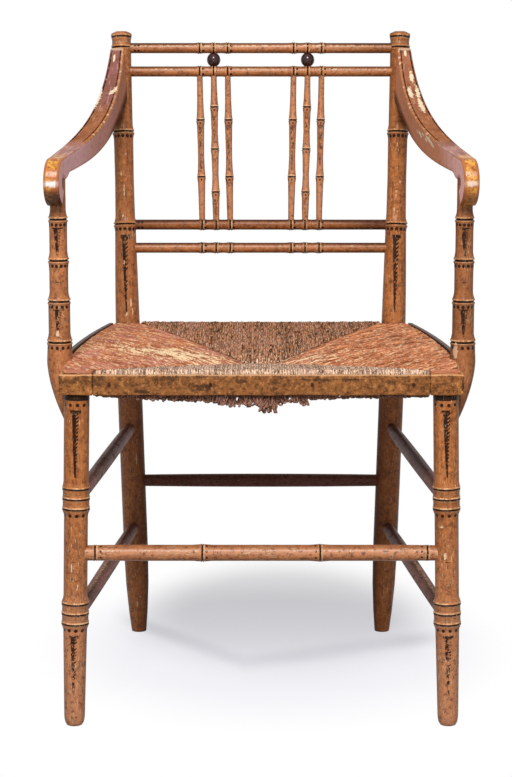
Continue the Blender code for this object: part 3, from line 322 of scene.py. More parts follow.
def add_piece(name, points, faces, uv, stored, finish, node):
    """A mesh object with UV and stored numbers that rides on the chair and stands for a CAD node."""
    mesh = bpy.data.meshes.new(name)
    mesh.from_pydata(np.asarray(points).tolist(), [], faces)
    mesh.polygons.foreach_set("use_smooth", np.array([len(face) < 5 for face in faces]))
    layer = mesh.uv_layers.new(name="surface")
    corners = np.zeros((len(mesh.loops), 2), np.float32)
    corners[:len(uv)] = uv
    layer.data.foreach_set("uv", corners.ravel())
    for key, values in stored.items():
        held = mesh.attributes.new(key, "FLOAT", "POINT")
        held.data.foreach_set("value", np.asarray(values, np.float32).ravel())
    mesh.materials.append(finish)
    piece = bpy.data.objects.new(name, mesh)
    scene.collection.objects.link(piece)
    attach(piece, "root")
    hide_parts(node)
    return piece


print("mesh helpers ready")

# %% [markdown]
# ## Turning a stick
# Bamboo is imitated on a lathe: a stick swells towards a ring, carries two small lips there with a cut
# line between them, and narrows again. A Screw modifier could spin a drawn outline. Here the outline is
# a sum: straight runs between a few knots, rounded off, plus a bell for each lip and a narrow bell cut
# away for the line. The rows are close together at the rings and wide apart elsewhere.

# %% Profiles of turned sticks
RING_REACH = 0.0055
RING_STEP = 0.00045
EVEN_STEP = 0.0035
ROUNDING = 0.0012
LIP_HEIGHT = 0.0009
CUT_DEPTH = 0.0012


def turned_places(start, end, rings):
    """Places along a stick: even steps, and close ones on both sides of each ring."""
    even = np.linspace(start, end, int((end - start) / EVEN_STEP) + 2)
    close = np.arange(-RING_REACH, RING_REACH, RING_STEP)
    places = np.concatenate([even] + [ring + close for ring in rings])
    return np.unique(np.clip(places, start, end).round(6))


def turned_radius(places, knots, rings, scale=1.0):
    """Straight runs between knots averaged over a bell, plus two lips and minus a cut line at each ring."""
    offsets = np.linspace(-2, 2, 9) * ROUNDING
    weights = np.exp(-0.5 * (offsets / ROUNDING) ** 2)
    at, radius = np.array(knots).T
    smooth = np.interp(places[:, None] + offsets, at, radius) @ weights / weights.sum()
    for ring in rings:
        away = (places - ring) / scale
        smooth += LIP_HEIGHT * scale * np.exp(-((away - 0.0021) / 0.0011) ** 2)
        smooth += LIP_HEIGHT * scale * np.exp(-((away + 0.0023) / 0.0013) ** 2)
        smooth -= CUT_DEPTH * scale * np.exp(-(away / 0.00055) ** 2)
    return smooth


print("profiles: lips", LIP_HEIGHT, "m high, cuts", CUT_DEPTH, "m deep")

# %% Turned pieces
GRAIN_SHIFT = 0.37
TURNED = []


def turns(sides):
    """Even angles once round a circle."""
    return np.linspace(0, 2 * np.pi, sides, endpoint=False)


def unit(vectors):
    """Vectors brought to length 1."""
    return vectors / np.linalg.norm(vectors, axis=-1, keepdims=True)


def nearest(places, marks):
    """Signed distance from each place to the nearest mark, 1 m where there is none."""
    if len(marks) == 0:
        return np.ones(len(places))
    away = places[:, None] - np.array(marks)
    return np.take_along_axis(away, np.abs(away).argmin(1)[:, None], 1)[:, 0]


def leaf_share(places, leaves):
    """How far down its nearest painted leaf a place is: 0 at its head, 1 at its tip, -1 without leaves."""
    if len(leaves) == 0:
        return np.full(len(places), -1.0)
    head, tip = np.array(leaves).T
    share = (places[:, None] - head) / (tip - head)
    return np.take_along_axis(share, np.abs(share - 0.5).argmin(1)[:, None], 1)[:, 0]


def carried_rings(centres, aside, radii, sides):
    """Circles square to a path: cos of the angle along the aside direction and sin along path x aside."""
    aside = np.asarray(aside, float)
    path = unit(np.gradient(centres, axis=0))
    first = unit(aside - path * (path @ aside)[:, None])
    second = np.cross(path, first)
    angle = turns(sides)
    spokes = np.cos(angle)[None, :, None] * first[:, None] + np.sin(angle)[None, :, None] * second[:, None]
    return centres[:, None] + radii[:, None, None] * spokes


def turned_piece(name, places, centres, radii, aside, finish, sides=32, rings=(), rows=(), leaves=(),
                 dots=12, dot=0.0019, broad=0.004, tone=0.0, rub=0.0, band=0.0, wear=None):
    """A turned stick as a closed tube, with what its paint needs stored on the points."""
    points = carried_rings(centres, aside, radii, sides)
    points[..., 2] = np.clip(points[..., 2], CAD_BOX[0][2], CAD_BOX[1][2])
    shape = points.shape[:2]
    numbers = {
        "dots": dots, "dot": dot, "broad": broad, "tone": tone, "rub": rub, "band": band,
        "near": nearest(places, rings)[:, None],
        "row": nearest(places, rows)[:, None],
        "leaf": leaf_share(places, leaves)[:, None],
        "girth": radii[:, None],
        "wear": wear(points) if wear else 0.0,
    }
    stored = {key: np.broadcast_to(value, shape) for key, value in numbers.items()}
    uv = tube_uv(places + GRAIN_SHIFT * len(TURNED), sides)
    TURNED.append(add_piece(f"painted_{name}", points.reshape(-1, 3), tube_faces(*shape), uv, stored, finish,
                            name))


print("turning helpers ready")

# %% [markdown]
# ## Old ochre paint
# The sticks carry thin ochre paint that has gone brown and streaky under varnish, with black lines in
# the cut rings, rows of black dots, and a leaf stroke here and there. Where hands and feet rubbed, the
# pale ground shows. The colour is built in layers, each with its own mask: broad clouds, streaks along
# the stick, grime, painted shade and a painted highlight band, paler lips that are partly a painted
# highlight, then the black ornament, and last the chips, which cut through it all and on the rails
# also fleck the highlight.


# %% Helpers for paint
def new_finish(name, **constants):
    """A material, its Principled shader with constants set, a Signal to start from, and object_place."""
    made = bpy.data.materials.new(name)
    made.use_nodes = True
    shader = made.node_tree.nodes["Principled BSDF"]
    for socket, value in constants.items():
        shader.inputs[socket.replace("_", " ")].default_value = value
    make = Signal(made.node_tree)
    return made, shader, make, object_place(make)


def attribute(make, name):
    """A number stored on the mesh's points."""
    return make.node("ShaderNodeAttribute", {"attribute_name": name}, None, 2)


def attributes(make, *names):
    """Several stored numbers at once."""
    return [attribute(make, name) for name in names]


def joined(make, x, y, z):
    """A vector from its x, y and z."""
    return make.node("ShaderNodeCombineXYZ", None, {0: x, 1: y, 2: z})


def layered(colour, *layers):
    """Colours laid over a first one in turn: each layer is a mask, its share and its colour."""
    for mask, share, tint in layers:
        colour = (mask * share).over(colour, tint)
    return colour


def bumped(make, height, strength, depth):
    """The surface normal after a height field."""
    return make.node("ShaderNodeBump", None, {"Strength": strength, "Distance": depth, "Height": height})


print("paint helpers ready")

# %% Black ornament
DARK_LINE = rgb(0.010, 0.004, 0.003)


def ornament(make, u, here):
    """Black ring lines, rows of dots, leaf strokes and bands as one mask."""
    near, row, leaf, dots, size = attributes(make, "near", "row", "leaf", "dots", "dot")
    broad, band, rub = attributes(make, "broad", "band", "rub")
    girth = attribute(make, "girth") * (2 * np.pi)
    wobble = here.noise(320.0, 2.0) - 0.5
    line = (abs(near) + wobble * 0.0007).between(0.0015, 0.0009)
    around = ((u * dots).math("FRACT") - 0.5) * girth / dots
    away = (around * around + row * row).math("SQRT") / size + wobble * 0.7
    dot = away.between(1.12, 0.82)
    sideways = (u - 0.75) * girth + wobble * 0.0012
    width = broad * ((1.0 - (leaf | 0.0)) | 0.0) ** 0.75
    inside = leaf.between(-0.002, 0.004) * leaf.between(1.0, 0.97)
    stem = width * 0.36 + 0.0010
    spine = abs(sideways + width * 0.5).between(stem + 0.0003, stem - 0.0003)
    tooth = abs((leaf * 19.0 + sideways * 160.0).math("FRACT") - 0.5).between(0.34, 0.24)
    reach = (sideways + width * 0.6).between(-0.0003, 0.0003) * (sideways - width).between(0.0003, -0.0003)
    head = leaf.between(0.055, 0.04) * abs(sideways).between(broad * 1.55 + 0.0004, broad * 1.55 - 0.0004)
    kept = (here.noise(210.0, 4.0, 0.7) - rub * 0.26).between(0.30, 0.44)
    stroke = (spine | tooth * reach | head) * inside * kept * (girth.between(0.030, 0.055) * 0.25 + 0.75)
    return line | dot | stroke | band


print("ornament ready")

# %% Paint of the turned sticks
CREAM_GROUND = rgb(0.80, 0.58, 0.38)
OCHRE = {
    "pale": rgb(0.53, 0.185, 0.055),
    "middle": rgb(0.375, 0.119, 0.028),
    "deep": rgb(0.115, 0.032, 0.010),
    "lip": rgb(0.66, 0.260, 0.086),
    "rim": rgb(0.82, 0.47, 0.24),
    "grime": rgb(0.150, 0.048, 0.014),
    "rubbed": rgb(0.60, 0.278, 0.158),
    "coat": 0.22,
}
BROWN = {
    "pale": rgb(0.50, 0.215, 0.165),
    "middle": rgb(0.32, 0.118, 0.072),
    "deep": rgb(0.050, 0.016, 0.010),
    "lip": rgb(0.34, 0.175, 0.15),
    "rim": rgb(0.34, 0.175, 0.15),
    "grime": rgb(0.055, 0.012, 0.005),
    "rubbed": rgb(0.34, 0.18, 0.14),
    "coat": 0.0,
}


def paint_of_sticks(name, colours):
    """Clouds, streaks, grime, painted shade and highlight, paler lips, black ornament and chips, by stored
    numbers.
    """
    made, shader, make, here = new_finish(name, Coat_Roughness=0.24, Specular_IOR_Level=0.08)
    pale, deep, lip_tone = colours["pale"], colours["deep"], colours["lip"]
    near, wear, rub, tone = attributes(make, "near", "wear", "rub", "tone")
    u, v = parts(make, make.node("ShaderNodeTexCoord", output=2))[:2]
    turn = u * (2 * np.pi)
    cosine, sine = turn.math("COSINE"), turn.math("SINE")
    along = joined(make, cosine * 3.2, sine * 3.2, v * 16.0)
    fine = joined(make, cosine * 9.0, sine * 9.0, v * 70.0)
    cloud = here.noise(13.0, 4.0).between(0.38, 0.62)
    streak = along.noise(1.0, 4.0, 0.6)
    speckle = fine.noise(1.0, 3.0, 0.6)
    grime = here.noise(75.0, 5.0, 0.72).between(0.50, 0.68)
    mottle = here.noise(185.0, 5.0, 0.78)
    # The rub layer is rubbed paint, and on level sticks it is a painted highlight band.
    colour = layered(
        colours["middle"], (cloud, 0.75, pale), (streak.between(0.50, 0.70), 0.70, deep),
        (speckle.between(0.54, 0.72), 0.55, lip_tone), (speckle.between(0.44, 0.28), 0.60, deep),
        (grime, 0.55, deep), (rub, 1.0, colours["rubbed"]),
        (mottle.between(0.52, 0.62), 0.66 + rub * 0.25, deep), (mottle.between(0.47, 0.37), 0.52, lip_tone),
    )
    # The stored tone lays painted shade over the paint, and also dust on the rails and a darker tone on some
    # sticks.
    shade_darkness = grime * 0.6 | tone.between(0.45, 0.95)
    colour = tone.over(colour, shade_darkness.over(colours["grime"], BROWN["deep"]))
    # Paler lips by each ring, stronger on the upper one: worn paint and partly a painted highlight from
    # above.
    lip = near.between(0.0036, 0.0026) * near.between(0.0004, 0.0010)
    lip = lip + near.between(-0.0038, -0.0026) * near.between(-0.0004, -0.0010) * 0.4
    colour = (lip * (mottle.between(0.46, 0.56) * 0.75 + 0.08)).over(colour, colours["rim"])
    black = ornament(make, u, here)
    colour = (black * 0.96).over(colour, DARK_LINE)
    fleck = (fine.noise(1.7, 2.0, 0.5) + rub * 0.085).between(0.66, 0.69)
    fleck = fleck * here.noise(21.0).between(0.42, 0.56)
    # On the rails and the front stretcher the wear also holds pale flecks painted along their highlight.
    chip = (wear + (here.noise(260.0, 4.0, 0.65) - 0.5) * 1.1).between(0.50, 0.58)
    bare = fleck | chip
    # Bare chips are dimmed where the tone lays painted shade.
    colour = (bare * 0.88).over(colour, tone.over(CREAM_GROUND, rgb(0.36, 0.18, 0.085)))
    rough = 0.40 + grime * 0.16 + bare * 0.3 + speckle * 0.08 - black * 0.08
    height = streak * 0.4 + speckle * 0.35 + mottle * 0.4 - bare * 0.7 + black * 0.15
    coat = (1.0 - (bare | black * 0.75)) * tone.between(0.9, 0.0) * colours["coat"]
    feed(shader, Base_Color=colour, Roughness=rough, Coat_Weight=coat)
    feed(shader, Normal=bumped(make, height, 0.5, 0.0006))
    return made


OCHRE_STICK = paint_of_sticks("ochre_paint_turned", OCHRE)
BROWN_STICK = paint_of_sticks("brown_paint_turned", BROWN)
print("paints:", OCHRE_STICK.name, BROWN_STICK.name)

# %% [markdown]
# ## Back posts
# Each back post is one stick from a tapered foot to a domed top, bent backwards at the seat. A curve
# object with a taper would follow the bend but couldn't hold crisp rings. The axis is written as a
# function of height instead: two straight rakes with a parabola between them, and a slight splay.

# %% Axis and outline of the back posts
SIDES = {"left": -1, "right": 1}
UPRIGHT_ASIDE = (1, 0, 0)
POST_SIDES = 48
POST_FOOT_X = 0.1766
POST_SPLAY = 0.019
POST_FOOT_Y = 0.205
POST_BEND_Y = 0.1595
POST_TOP_Y = 0.232
POST_BEND_Z = 0.430
POST_BEND_LENGTH = 0.240
POST_TOP = 0.860
MOST_TONE = 0.95
POST_RINGS = (0.592, 0.720, 0.8364)
POST_DOTS = (0.585, 0.7135)
POST_LEAVES = ((0.577, 0.470),)
FINIAL_LINE = 0.8512
POST_KNOTS = [
    (0, 0.0105), (0.03, 0.01348), (0.072, 0.0162), (0.12, 0.0173), (0.43, 0.0173), (0.51, 0.01607),
    (0.5825, 0.0146), (0.589, 0.0156), (0.595, 0.0156), (0.6015, 0.0138), (0.656, 0.0132),
    (0.7105, 0.0136), (0.717, 0.0146), (0.723, 0.0144), (0.7295, 0.0132), (0.8269, 0.0132),
    (0.8334, 0.0138), (0.8394, 0.0138), (0.8445, 0.0129), (0.8495, 0.0136), (0.8525, 0.0146),
    (0.8560, 0.0145), (0.8582, 0.0120), (0.8598, 0.0050),
]


def post_axis(side, z):
    """Axis of a back post: two rakes joined by a parabola at the seat, and a straight splay."""
    z = np.asarray(z, float)
    lower = (POST_BEND_Y - POST_FOOT_Y) / POST_BEND_Z
    upper = (POST_TOP_Y - POST_BEND_Y) / (POST_TOP - POST_BEND_Z)
    into = np.clip(z - POST_BEND_Z + POST_BEND_LENGTH / 2, 0, POST_BEND_LENGTH)
    beyond = np.maximum(z - POST_BEND_Z - POST_BEND_LENGTH / 2, 0)
    y = POST_FOOT_Y + lower * z + (upper - lower) * (into ** 2 / (2 * POST_BEND_LENGTH) + beyond)
    return np.stack([side * (POST_FOOT_X + POST_SPLAY * z / POST_TOP), y, z], -1)


print("post top at", post_axis(1, POST_TOP))


# %% Wear and painted shade of the back posts
def spotted(places, spots):
    """The most that any spot gives a place: its strength, or 1, times exp(-0.7 d^2), d in its half sizes."""
    total = np.zeros(places.shape[:-1])
    for centre, half, *strength in spots:
        away = ((places - np.array(centre)) / np.array(half)) ** 2
        total = np.maximum(total, sum(strength or [1.0]) * np.exp(-0.7 * away.sum(-1)))
    return total


def worn_spots(spots):
    """A function for the wear that such spots give to points."""
    return lambda points: spotted(points, spots)


def painted_edge_shade(sides, amount):
    """Painted shade: darker on the left and right of an upright stick than in front and behind."""
    return amount * np.cos(turns(sides))[None] ** 4


POST_WEAR = {
    "left": worn_spots([
        ((-0.1903, 0.176, 0.640), (0.0010, 0.02, 0.012)), ((-0.1945, 0.176, 0.664), (0.0009, 0.02, 0.005)),
        ((-0.1880, 0.178, 0.690), (0.0009, 0.02, 0.005)), ((-0.1925, 0.170, 0.605), (0.0010, 0.02, 0.006)),
        ((-0.1760, 0.160, 0.262), (0.0009, 0.03, 0.010)), ((-0.1850, 0.185, 0.066), (0.0010, 0.03, 0.006)),
        ((-0.1772, 0.185, 0.044), (0.0010, 0.03, 0.007)), ((-0.1745, 0.185, 0.056), (0.0008, 0.03, 0.005)),
        ((-0.1812, 0.150, 0.485), (0.0013, 0.02, 0.007)), ((-0.1788, 0.150, 0.473), (0.0010, 0.02, 0.006)),
        ((-0.1868, 0.150, 0.470), (0.0014, 0.02, 0.003)), ((-0.1900, 0.155, 0.542), (0.0014, 0.02, 0.004)),
        ((-0.1800, 0.190, 0.090), (0.0120, 0.03, 0.040), 0.40),
    ]),
    "right": worn_spots([
        ((0.1922, 0.176, 0.668), (0.0011, 0.02, 0.007)), ((0.1895, 0.174, 0.635), (0.0010, 0.02, 0.010)),
        ((0.1940, 0.176, 0.652), (0.0008, 0.02, 0.004)), ((0.1860, 0.172, 0.612), (0.0010, 0.02, 0.006)),
    ]),
}
print("worn spots for:", list(POST_WEAR))

# %% Back posts
post_places = turned_places(0, POST_TOP - 0.0002, (*POST_RINGS, *POST_DOTS, FINIAL_LINE))
post_radii = turned_radius(post_places, POST_KNOTS, POST_RINGS)
# Painted shade in the posts' tone: on their upper part by the arms, in the arm's shadow on the outer side,
# and in the seat's shadow on the inner side below the seat.
seat_shadow = np.interp(post_places, (0.10, 0.25, 0.36, 0.43), (0.45, 0.40, 0.30, 0.0))
toward_middle = 0.5 - 0.5 * np.cos(turns(POST_SIDES))
shade_above_arm = np.interp(post_places, (0.65, 0.74), (0.0, 0.24))
arm_shadow = np.interp(post_places, (0.722, 0.732, 0.752, 0.775), (0.0, 0.8, 0.8, 0.0))
for word, side in SIDES.items():
    inner_side = toward_middle if side > 0 else 1 - toward_middle
    post_shade = painted_edge_shade(POST_SIDES, 0.31 + 0.07 * side) + shade_above_arm[:, None]
    post_shade = post_shade + seat_shadow[:, None] * np.clip(2.0 * inner_side - 0.40, 0, 2)
    post_shade = post_shade + arm_shadow[:, None] * np.clip(1.1 - 1.6 * inner_side, 0, 1)
    turned_piece(
        f"back_post_{word}", post_places, post_axis(side, post_places), post_radii, UPRIGHT_ASIDE,
        OCHRE_STICK, POST_SIDES, (*POST_RINGS, FINIAL_LINE), POST_DOTS, POST_LEAVES,
        dots=14, dot=0.0025, broad=0.0042,
        tone=np.minimum(post_shade, MOST_TONE), rub=0.05 - 0.05 * side, wear=POST_WEAR[word],
    )
print("back posts:", len(post_places), "rows each")

# %% [markdown]
# ## Front legs
# The front legs taper to a rounded foot and carry two raised bands, each with three cut lines. A dark
# band at the very top hides the joint with the corner block. They are turned like the posts, on a
# straight axis that splays a little outwards.

# %% Front legs
BLOCK_BOTTOM = 0.420
LEG_FOOT_X = 0.2340
LEG_SPLAY = 0.0087
LEG_FOOT_Y = -0.2260
LEG_RAKE = 0.0010
LEG_TOP = 0.4197
LEG_JOINT = 0.4125
LEG_DARK_FROM = 0.4128
LEG_LINE_STEP = 0.0127
LEG_BANDS = (0.144, 0.2895)
LEG_DOTS = (0.4075, 0.2695, 0.1240)
LEG_LEAVES = ((0.4015, 0.3165), (0.118, 0.040))
LEG_RINGS = [level + LEG_LINE_STEP * count for level in LEG_BANDS for count in (-1, 0, 1)]


def leg_axis(side, z):
    """Straight axis of a front leg from its foot to the corner block."""
    share = np.asarray(z, float) / BLOCK_BOTTOM
    x = side * (LEG_FOOT_X - LEG_SPLAY * share)
    return np.stack([x, LEG_FOOT_Y - LEG_RAKE * share, share * BLOCK_BOTTOM], -1)


def leg_knots():
    """Knots of a leg: rounded foot, and bands that are a little slack between their lines."""
    knots = [(0, 0.0095), (0.0012, 0.0108), (0.004, 0.0121), (0.0112, 0.0130)]
    for level, below, above in ((LEG_BANDS[0], 0.0148, 0.0148), (LEG_BANDS[1], 0.0148, 0.0156)):
        knots += [(level - 0.0203, below), (level - 0.0160, 0.0166)]
        for count in (-1, -0.5, 0, 0.5, 1):
            knots.append((level + count * LEG_LINE_STEP, 0.0168 if count % 1 == 0 else 0.0163))
        knots += [(level + 0.0160, 0.0166), (level + 0.0203, above)]
    return knots + [(LEG_TOP, 0.0156)]


leg_places = turned_places(0, LEG_TOP, (*LEG_RINGS, *LEG_DOTS, LEG_JOINT))
leg_radii = turned_radius(leg_places, leg_knots(), LEG_RINGS, 0.62)
leg_band = (leg_places > LEG_DARK_FROM).astype(float)
leg_rub = np.interp(leg_places, (0.0, 0.11, 0.18, 0.30), (0.52, 0.42, 0.20, 0.0))
LEG_WEAR = {
    "left": worn_spots([
        ((-0.2335, -0.241, 0.205), (0.0010, 0.02, 0.006)), ((-0.2265, -0.241, 0.180), (0.0012, 0.02, 0.003)),
        ((-0.2340, -0.241, 0.168), (0.0120, 0.02, 0.016), 0.43),
    ]),
    "right": worn_spots([
        ((0.2262, -0.241, 0.219), (0.0017, 0.02, 0.006)), ((0.2213, -0.241, 0.256), (0.0022, 0.02, 0.0024)),
        ((0.2290, -0.241, 0.188), (0.0100, 0.02, 0.028), 0.42),
    ]),
}
# The legs' tone is painted shade on their left and right sides.
for word, side in SIDES.items():
    turned_piece(
        f"front_leg_{word}", leg_places, leg_axis(side, leg_places), leg_radii, UPRIGHT_ASIDE,
        OCHRE_STICK, POST_SIDES, LEG_RINGS, LEG_DOTS, LEG_LEAVES, dots=11, dot=0.0023, broad=0.0044,
        tone=painted_edge_shade(POST_SIDES, 0.40), rub=leg_rub[:, None], band=leg_band[:, None],
        wear=LEG_WEAR[word],
    )
print("front legs:", len(leg_places), "rows each")

# %% [markdown]
# ## Arm supports
# The supports stand outside the corner blocks. Four rings divide them, and below the lowest one the
# stick tapers to a tail that leans in against the front leg. The tail's shift and its taper are powers
# of the share of the tail, so it leaves the straight part smoothly.

# %% Arm supports
SUPPORT_RINGS = (0.479, 0.5293, 0.5796, 0.6299)
SUPPORT_RING_RADII = (0.0150, 0.0134, 0.0122, 0.0112)
SUPPORT_WAISTS = (0.0134, 0.0116, 0.0109)
SUPPORT_LEAVES = ((0.6205, 0.5850), (0.5205, 0.4850))
SUPPORT_SIDES = 40
SUPPORT_X = 0.2485
SUPPORT_Y = -0.192
SUPPORT_FOOT = 0.385
SUPPORT_TOP = 0.6837
TAIL_TOP = 0.455
TAIL_LENGTH = 0.070
TAIL_IN = 0.0113
TAIL_FORWARD = 0.0215


def tail_share(z):
    """0 above the tail, 1 at its tip."""
    return np.clip((TAIL_TOP - np.asarray(z, float)) / TAIL_LENGTH, 0, 1)


def support_axis(side, z):
    """Upright axis, drawn in and forward along the tail."""
    share = tail_share(z) ** 1.4
    x = side * (SUPPORT_X - TAIL_IN * share)
    return np.stack([x, SUPPORT_Y - TAIL_FORWARD * share, np.asarray(z, float)], -1)


def support_knots():
    """Knots from the tail's tip to the shoulder under the arm."""
    tail = np.linspace(SUPPORT_FOOT, TAIL_TOP, 15)
    knots = list(zip(tail, 0.016 - 0.0112 * tail_share(tail) ** 1.9))
    for ring, radius in zip(SUPPORT_RINGS, SUPPORT_RING_RADII):
        knots += [(ring - 0.003, radius), (ring + 0.003, radius)]
    for low, high, waist in zip(SUPPORT_RINGS, SUPPORT_RINGS[1:], SUPPORT_WAISTS):
        knots += [(low + 0.0095, waist), (high - 0.0145, waist)]
    return sorted(knots + [(0.6394, 0.0097), (SUPPORT_TOP, 0.0097)])


SUPPORT_DOTS = [ring - 0.0065 for ring in SUPPORT_RINGS]
support_places = turned_places(SUPPORT_FOOT, SUPPORT_TOP, (*SUPPORT_RINGS, *SUPPORT_DOTS))
support_radii = turned_radius(support_places, support_knots(), SUPPORT_RINGS)
SUPPORT_WEAR = {
    "left": worn_spots([((-0.2495, -0.2057, 0.4905), (0.0022, 0.004, 0.0042))]),
    "right": worn_spots([((0.2385, -0.2030, 0.4690), (0.0030, 0.006, 0.0110))]),
}
SUPPORT_TONE = {"left": 0.02, "right": 0.34}
# The supports' tone is painted shade on their sides, with a darker tone overall on the right one.
for word, side in SIDES.items():
    turned_piece(
        f"arm_support_{word}", support_places, support_axis(side, support_places), support_radii,
        UPRIGHT_ASIDE, OCHRE_STICK, SUPPORT_SIDES, SUPPORT_RINGS, SUPPORT_DOTS, SUPPORT_LEAVES,
        dots=13, dot=0.0022, broad=0.0046,
        tone=SUPPORT_TONE[word] + painted_edge_shade(SUPPORT_SIDES, 0.40), rub=0.18, wear=SUPPORT_WEAR[word],
    )
print("arm supports:", len(support_places), "rows each")

# %% [markdown]
# ## Back rails, spindles and beads
# Four thin rails run between the posts and carry a ring wherever a spindle meets them. The spindles are
# the finest turning on the chair: each part between two rings is waisted like a real cane. They differ
# only in their places, so each kind is one function that is called for every stick.

# %% Back rails
RAIL_ASIDE = (0, 1, 0)
RAIL_SIDES = 32
UPPER_GROUP_X = 0.0659
LOWER_GROUP_X = 0.0622
# Each rail: its height, the middle of its groups of rings, least and most dust and painted under shade,
# rubbing and painted highlight, dull ends.
RAIL_LEVELS = {
    "crest_rail": (0.8364, UPPER_GROUP_X, (0.0, 0.85), 0.80, (0.20, 0.36)),
    "second_back_rail": (0.804, UPPER_GROUP_X, (0.0, 0.70), 0.60, (0.18, 0.12)),
    "third_back_rail": (0.592, LOWER_GROUP_X, (0.34, 0.95), 0.22, (0.30, 0.46)),
    "fourth_back_rail": (0.560, LOWER_GROUP_X, (0.06, 0.85), 0.48, (0.10, 0.24)),
}
SPINDLE_SPACING = 0.0196
RAIL_RADIUS = 0.0071
RAIL_SWELL = 0.0077
RAIL_SHORT = 0.009
RAIL_DOT_STEP = 0.0048
RAIL_END_DOTS = (0.0190, 0.0240)


def blend(start, end, share):
    """The value a share of the way from start to end."""
    return start + (end - start) * share


def level_line(places, y, z):
    """Points at places in x on a level line."""
    return np.stack([places, np.full(len(places), y), np.full(len(places), z)], -1)


def dust_and_under_shade(dust):
    """Dust growing to all of a level stick's top, and painted shade growing to a good half of its underside.
    """
    rise = np.sin(turns(RAIL_SIDES))
    grown = np.clip((rise - 0.44) / 0.36, 0, 1) + 0.55 * np.clip((-rise - 0.45) / 0.40, 0, 1)
    return blend(*dust, grown[None])


def painted_highlight_band(amount):
    """A painted highlight along the front of a level stick, most of it 22 degrees above the middle."""
    return amount * np.exp(-((turns(RAIL_SIDES) - np.radians(158)) / np.radians(30)) ** 2)[None]


def highlight_flecks(y, z, strength):
    """A function for flecks painted on the highlight of a stick at y and z, 28 degrees above its front."""
    def wear(points):
        rise = np.arctan2(points[..., 2] - z, y - points[..., 1])
        return strength * np.exp(-((rise - np.radians(28)) / np.radians(16)) ** 2)
    return wear


def back_rail(name, z, middle, dust, rub, dull):
    """A rail between the posts: it swells a little to each ring of its two groups of three."""
    groups = [side * middle + SPINDLE_SPACING * count for side in (-1, 1) for count in (-1, 0, 1)]
    end = post_axis(1, z)
    reach = end[0] - RAIL_SHORT
    rows = [groups[order] + RAIL_DOT_STEP for order in (0, 2, 3, 5)]
    if name in ("crest_rail", "third_back_rail"):
        rows += [-end[0] + step for step in RAIL_END_DOTS]
    places = turned_places(-reach, reach, groups + rows)
    knots = [(-reach, RAIL_RADIUS)]
    for ring in groups:
        knots += [(ring - 0.0065, RAIL_RADIUS), (ring - 0.002, RAIL_SWELL)]
        knots += [(ring + 0.002, RAIL_SWELL), (ring + 0.0065, RAIL_RADIUS)]
    radii = turned_radius(places, sorted(knots + [(reach, RAIL_RADIUS)]), groups, 0.6)
    centres = level_line(places, end[1], z)
    dim = np.interp(places, (-0.16, -0.08, 0.08, 0.16), (dull[0], 0, 0, dull[1]))[:, None]
    tone = np.minimum(dust_and_under_shade(dust) + dim, MOST_TONE)
    # The rub is a painted highlight band along the front, and the wear adds pale flecks painted along it.
    turned_piece(name, places, centres, radii, RAIL_ASIDE, OCHRE_STICK, RAIL_SIDES, groups, rows, dots=6,
                 dot=0.0017, tone=tone, rub=painted_highlight_band(rub) * (1 - dim),
                 wear=highlight_flecks(end[1], z, 0.30 + 0.36 * rub))


for name, level in RAIL_LEVELS.items():
    back_rail(name, *level)
print("back rails:", len(RAIL_LEVELS))

# %% Spindles and beads
OUTER_RINGS = (0.32, 0.69)
CENTRE_RINGS = (0.235, 0.51, 0.79)
SPINDLE_TOP_Z = RAIL_LEVELS["second_back_rail"][0]
SPINDLE_FOOT_Z = RAIL_LEVELS["third_back_rail"][0]
SPINDLE_SIDES = 24
SPINDLE_SHORT = 0.003
SPINDLE_DOT_STEP = 0.0042
CENTRE_LEAVES = ((0.262, 0.49), (0.825, 0.955))
OUTER_LEAVES = ((0.35, 0.665),)
BEAD_ROWS = 25
BEAD_Z = 0.8202
BEAD_HALF = 0.0096
BEAD_RADIUS = 0.0095


def spindle(name, top_x, foot_x, ring_shares, leaf_shares):
    """A spindle from foot to top: the radius swells from each waist to the next ring above it."""
    foot = np.array([foot_x, post_axis(1, SPINDLE_FOOT_Z)[1], SPINDLE_FOOT_Z])
    top = np.array([top_x, post_axis(1, SPINDLE_TOP_Z)[1], SPINDLE_TOP_Z])
    length = np.linalg.norm(top - foot)
    rings = [length * (1 - share) for share in ring_shares]
    rows = [ring - SPINDLE_DOT_STEP for ring in rings]
    places = turned_places(SPINDLE_SHORT, length - SPINDLE_SHORT, rings + rows)
    knots = [(0, 0.0040), (length, 0.0040)]
    for ring in rings:
        knots += [(ring - 0.030, 0.0046), (ring - 0.0085, 0.0051), (ring - 0.002, 0.0057)]
        knots += [(ring + 0.002, 0.0057), (ring + 0.010, 0.0049), (ring + 0.028, 0.0043)]
    radii = turned_radius(places, sorted(knots), rings, 0.62)
    centres = blend(foot, top, (places / length)[:, None])
    leaves = [(length * (1 - head), length * (1 - tip)) for head, tip in leaf_shares]
    # Its tone is painted shade on the left and right sides.
    turned_piece(name, places, centres, radii, UPRIGHT_ASIDE, OCHRE_STICK, SPINDLE_SIDES, rings, rows, leaves,
                 dots=6, dot=0.0014, broad=0.0026, tone=painted_edge_shade(SPINDLE_SIDES, 0.45), rub=0.40)


BEAD_GLOSS = {"Coat_Weight": 0.70, "Coat_Roughness": 0.12, "Specular_IOR_Level": 0.0}
bead_finish, shader, make, here = new_finish("dark_bead_gloss", **BEAD_GLOSS)
grain = here.noise(240.0, 4.0)
feed(shader, Base_Color=grain.between(0.35, 0.7).over(rgb(0.018, 0.004, 0.005), rgb(0.060, 0.014, 0.016)))
feed(shader, Roughness=0.20 + grain * 0.16, Normal=bumped(make, grain, 0.25, 0.0003))

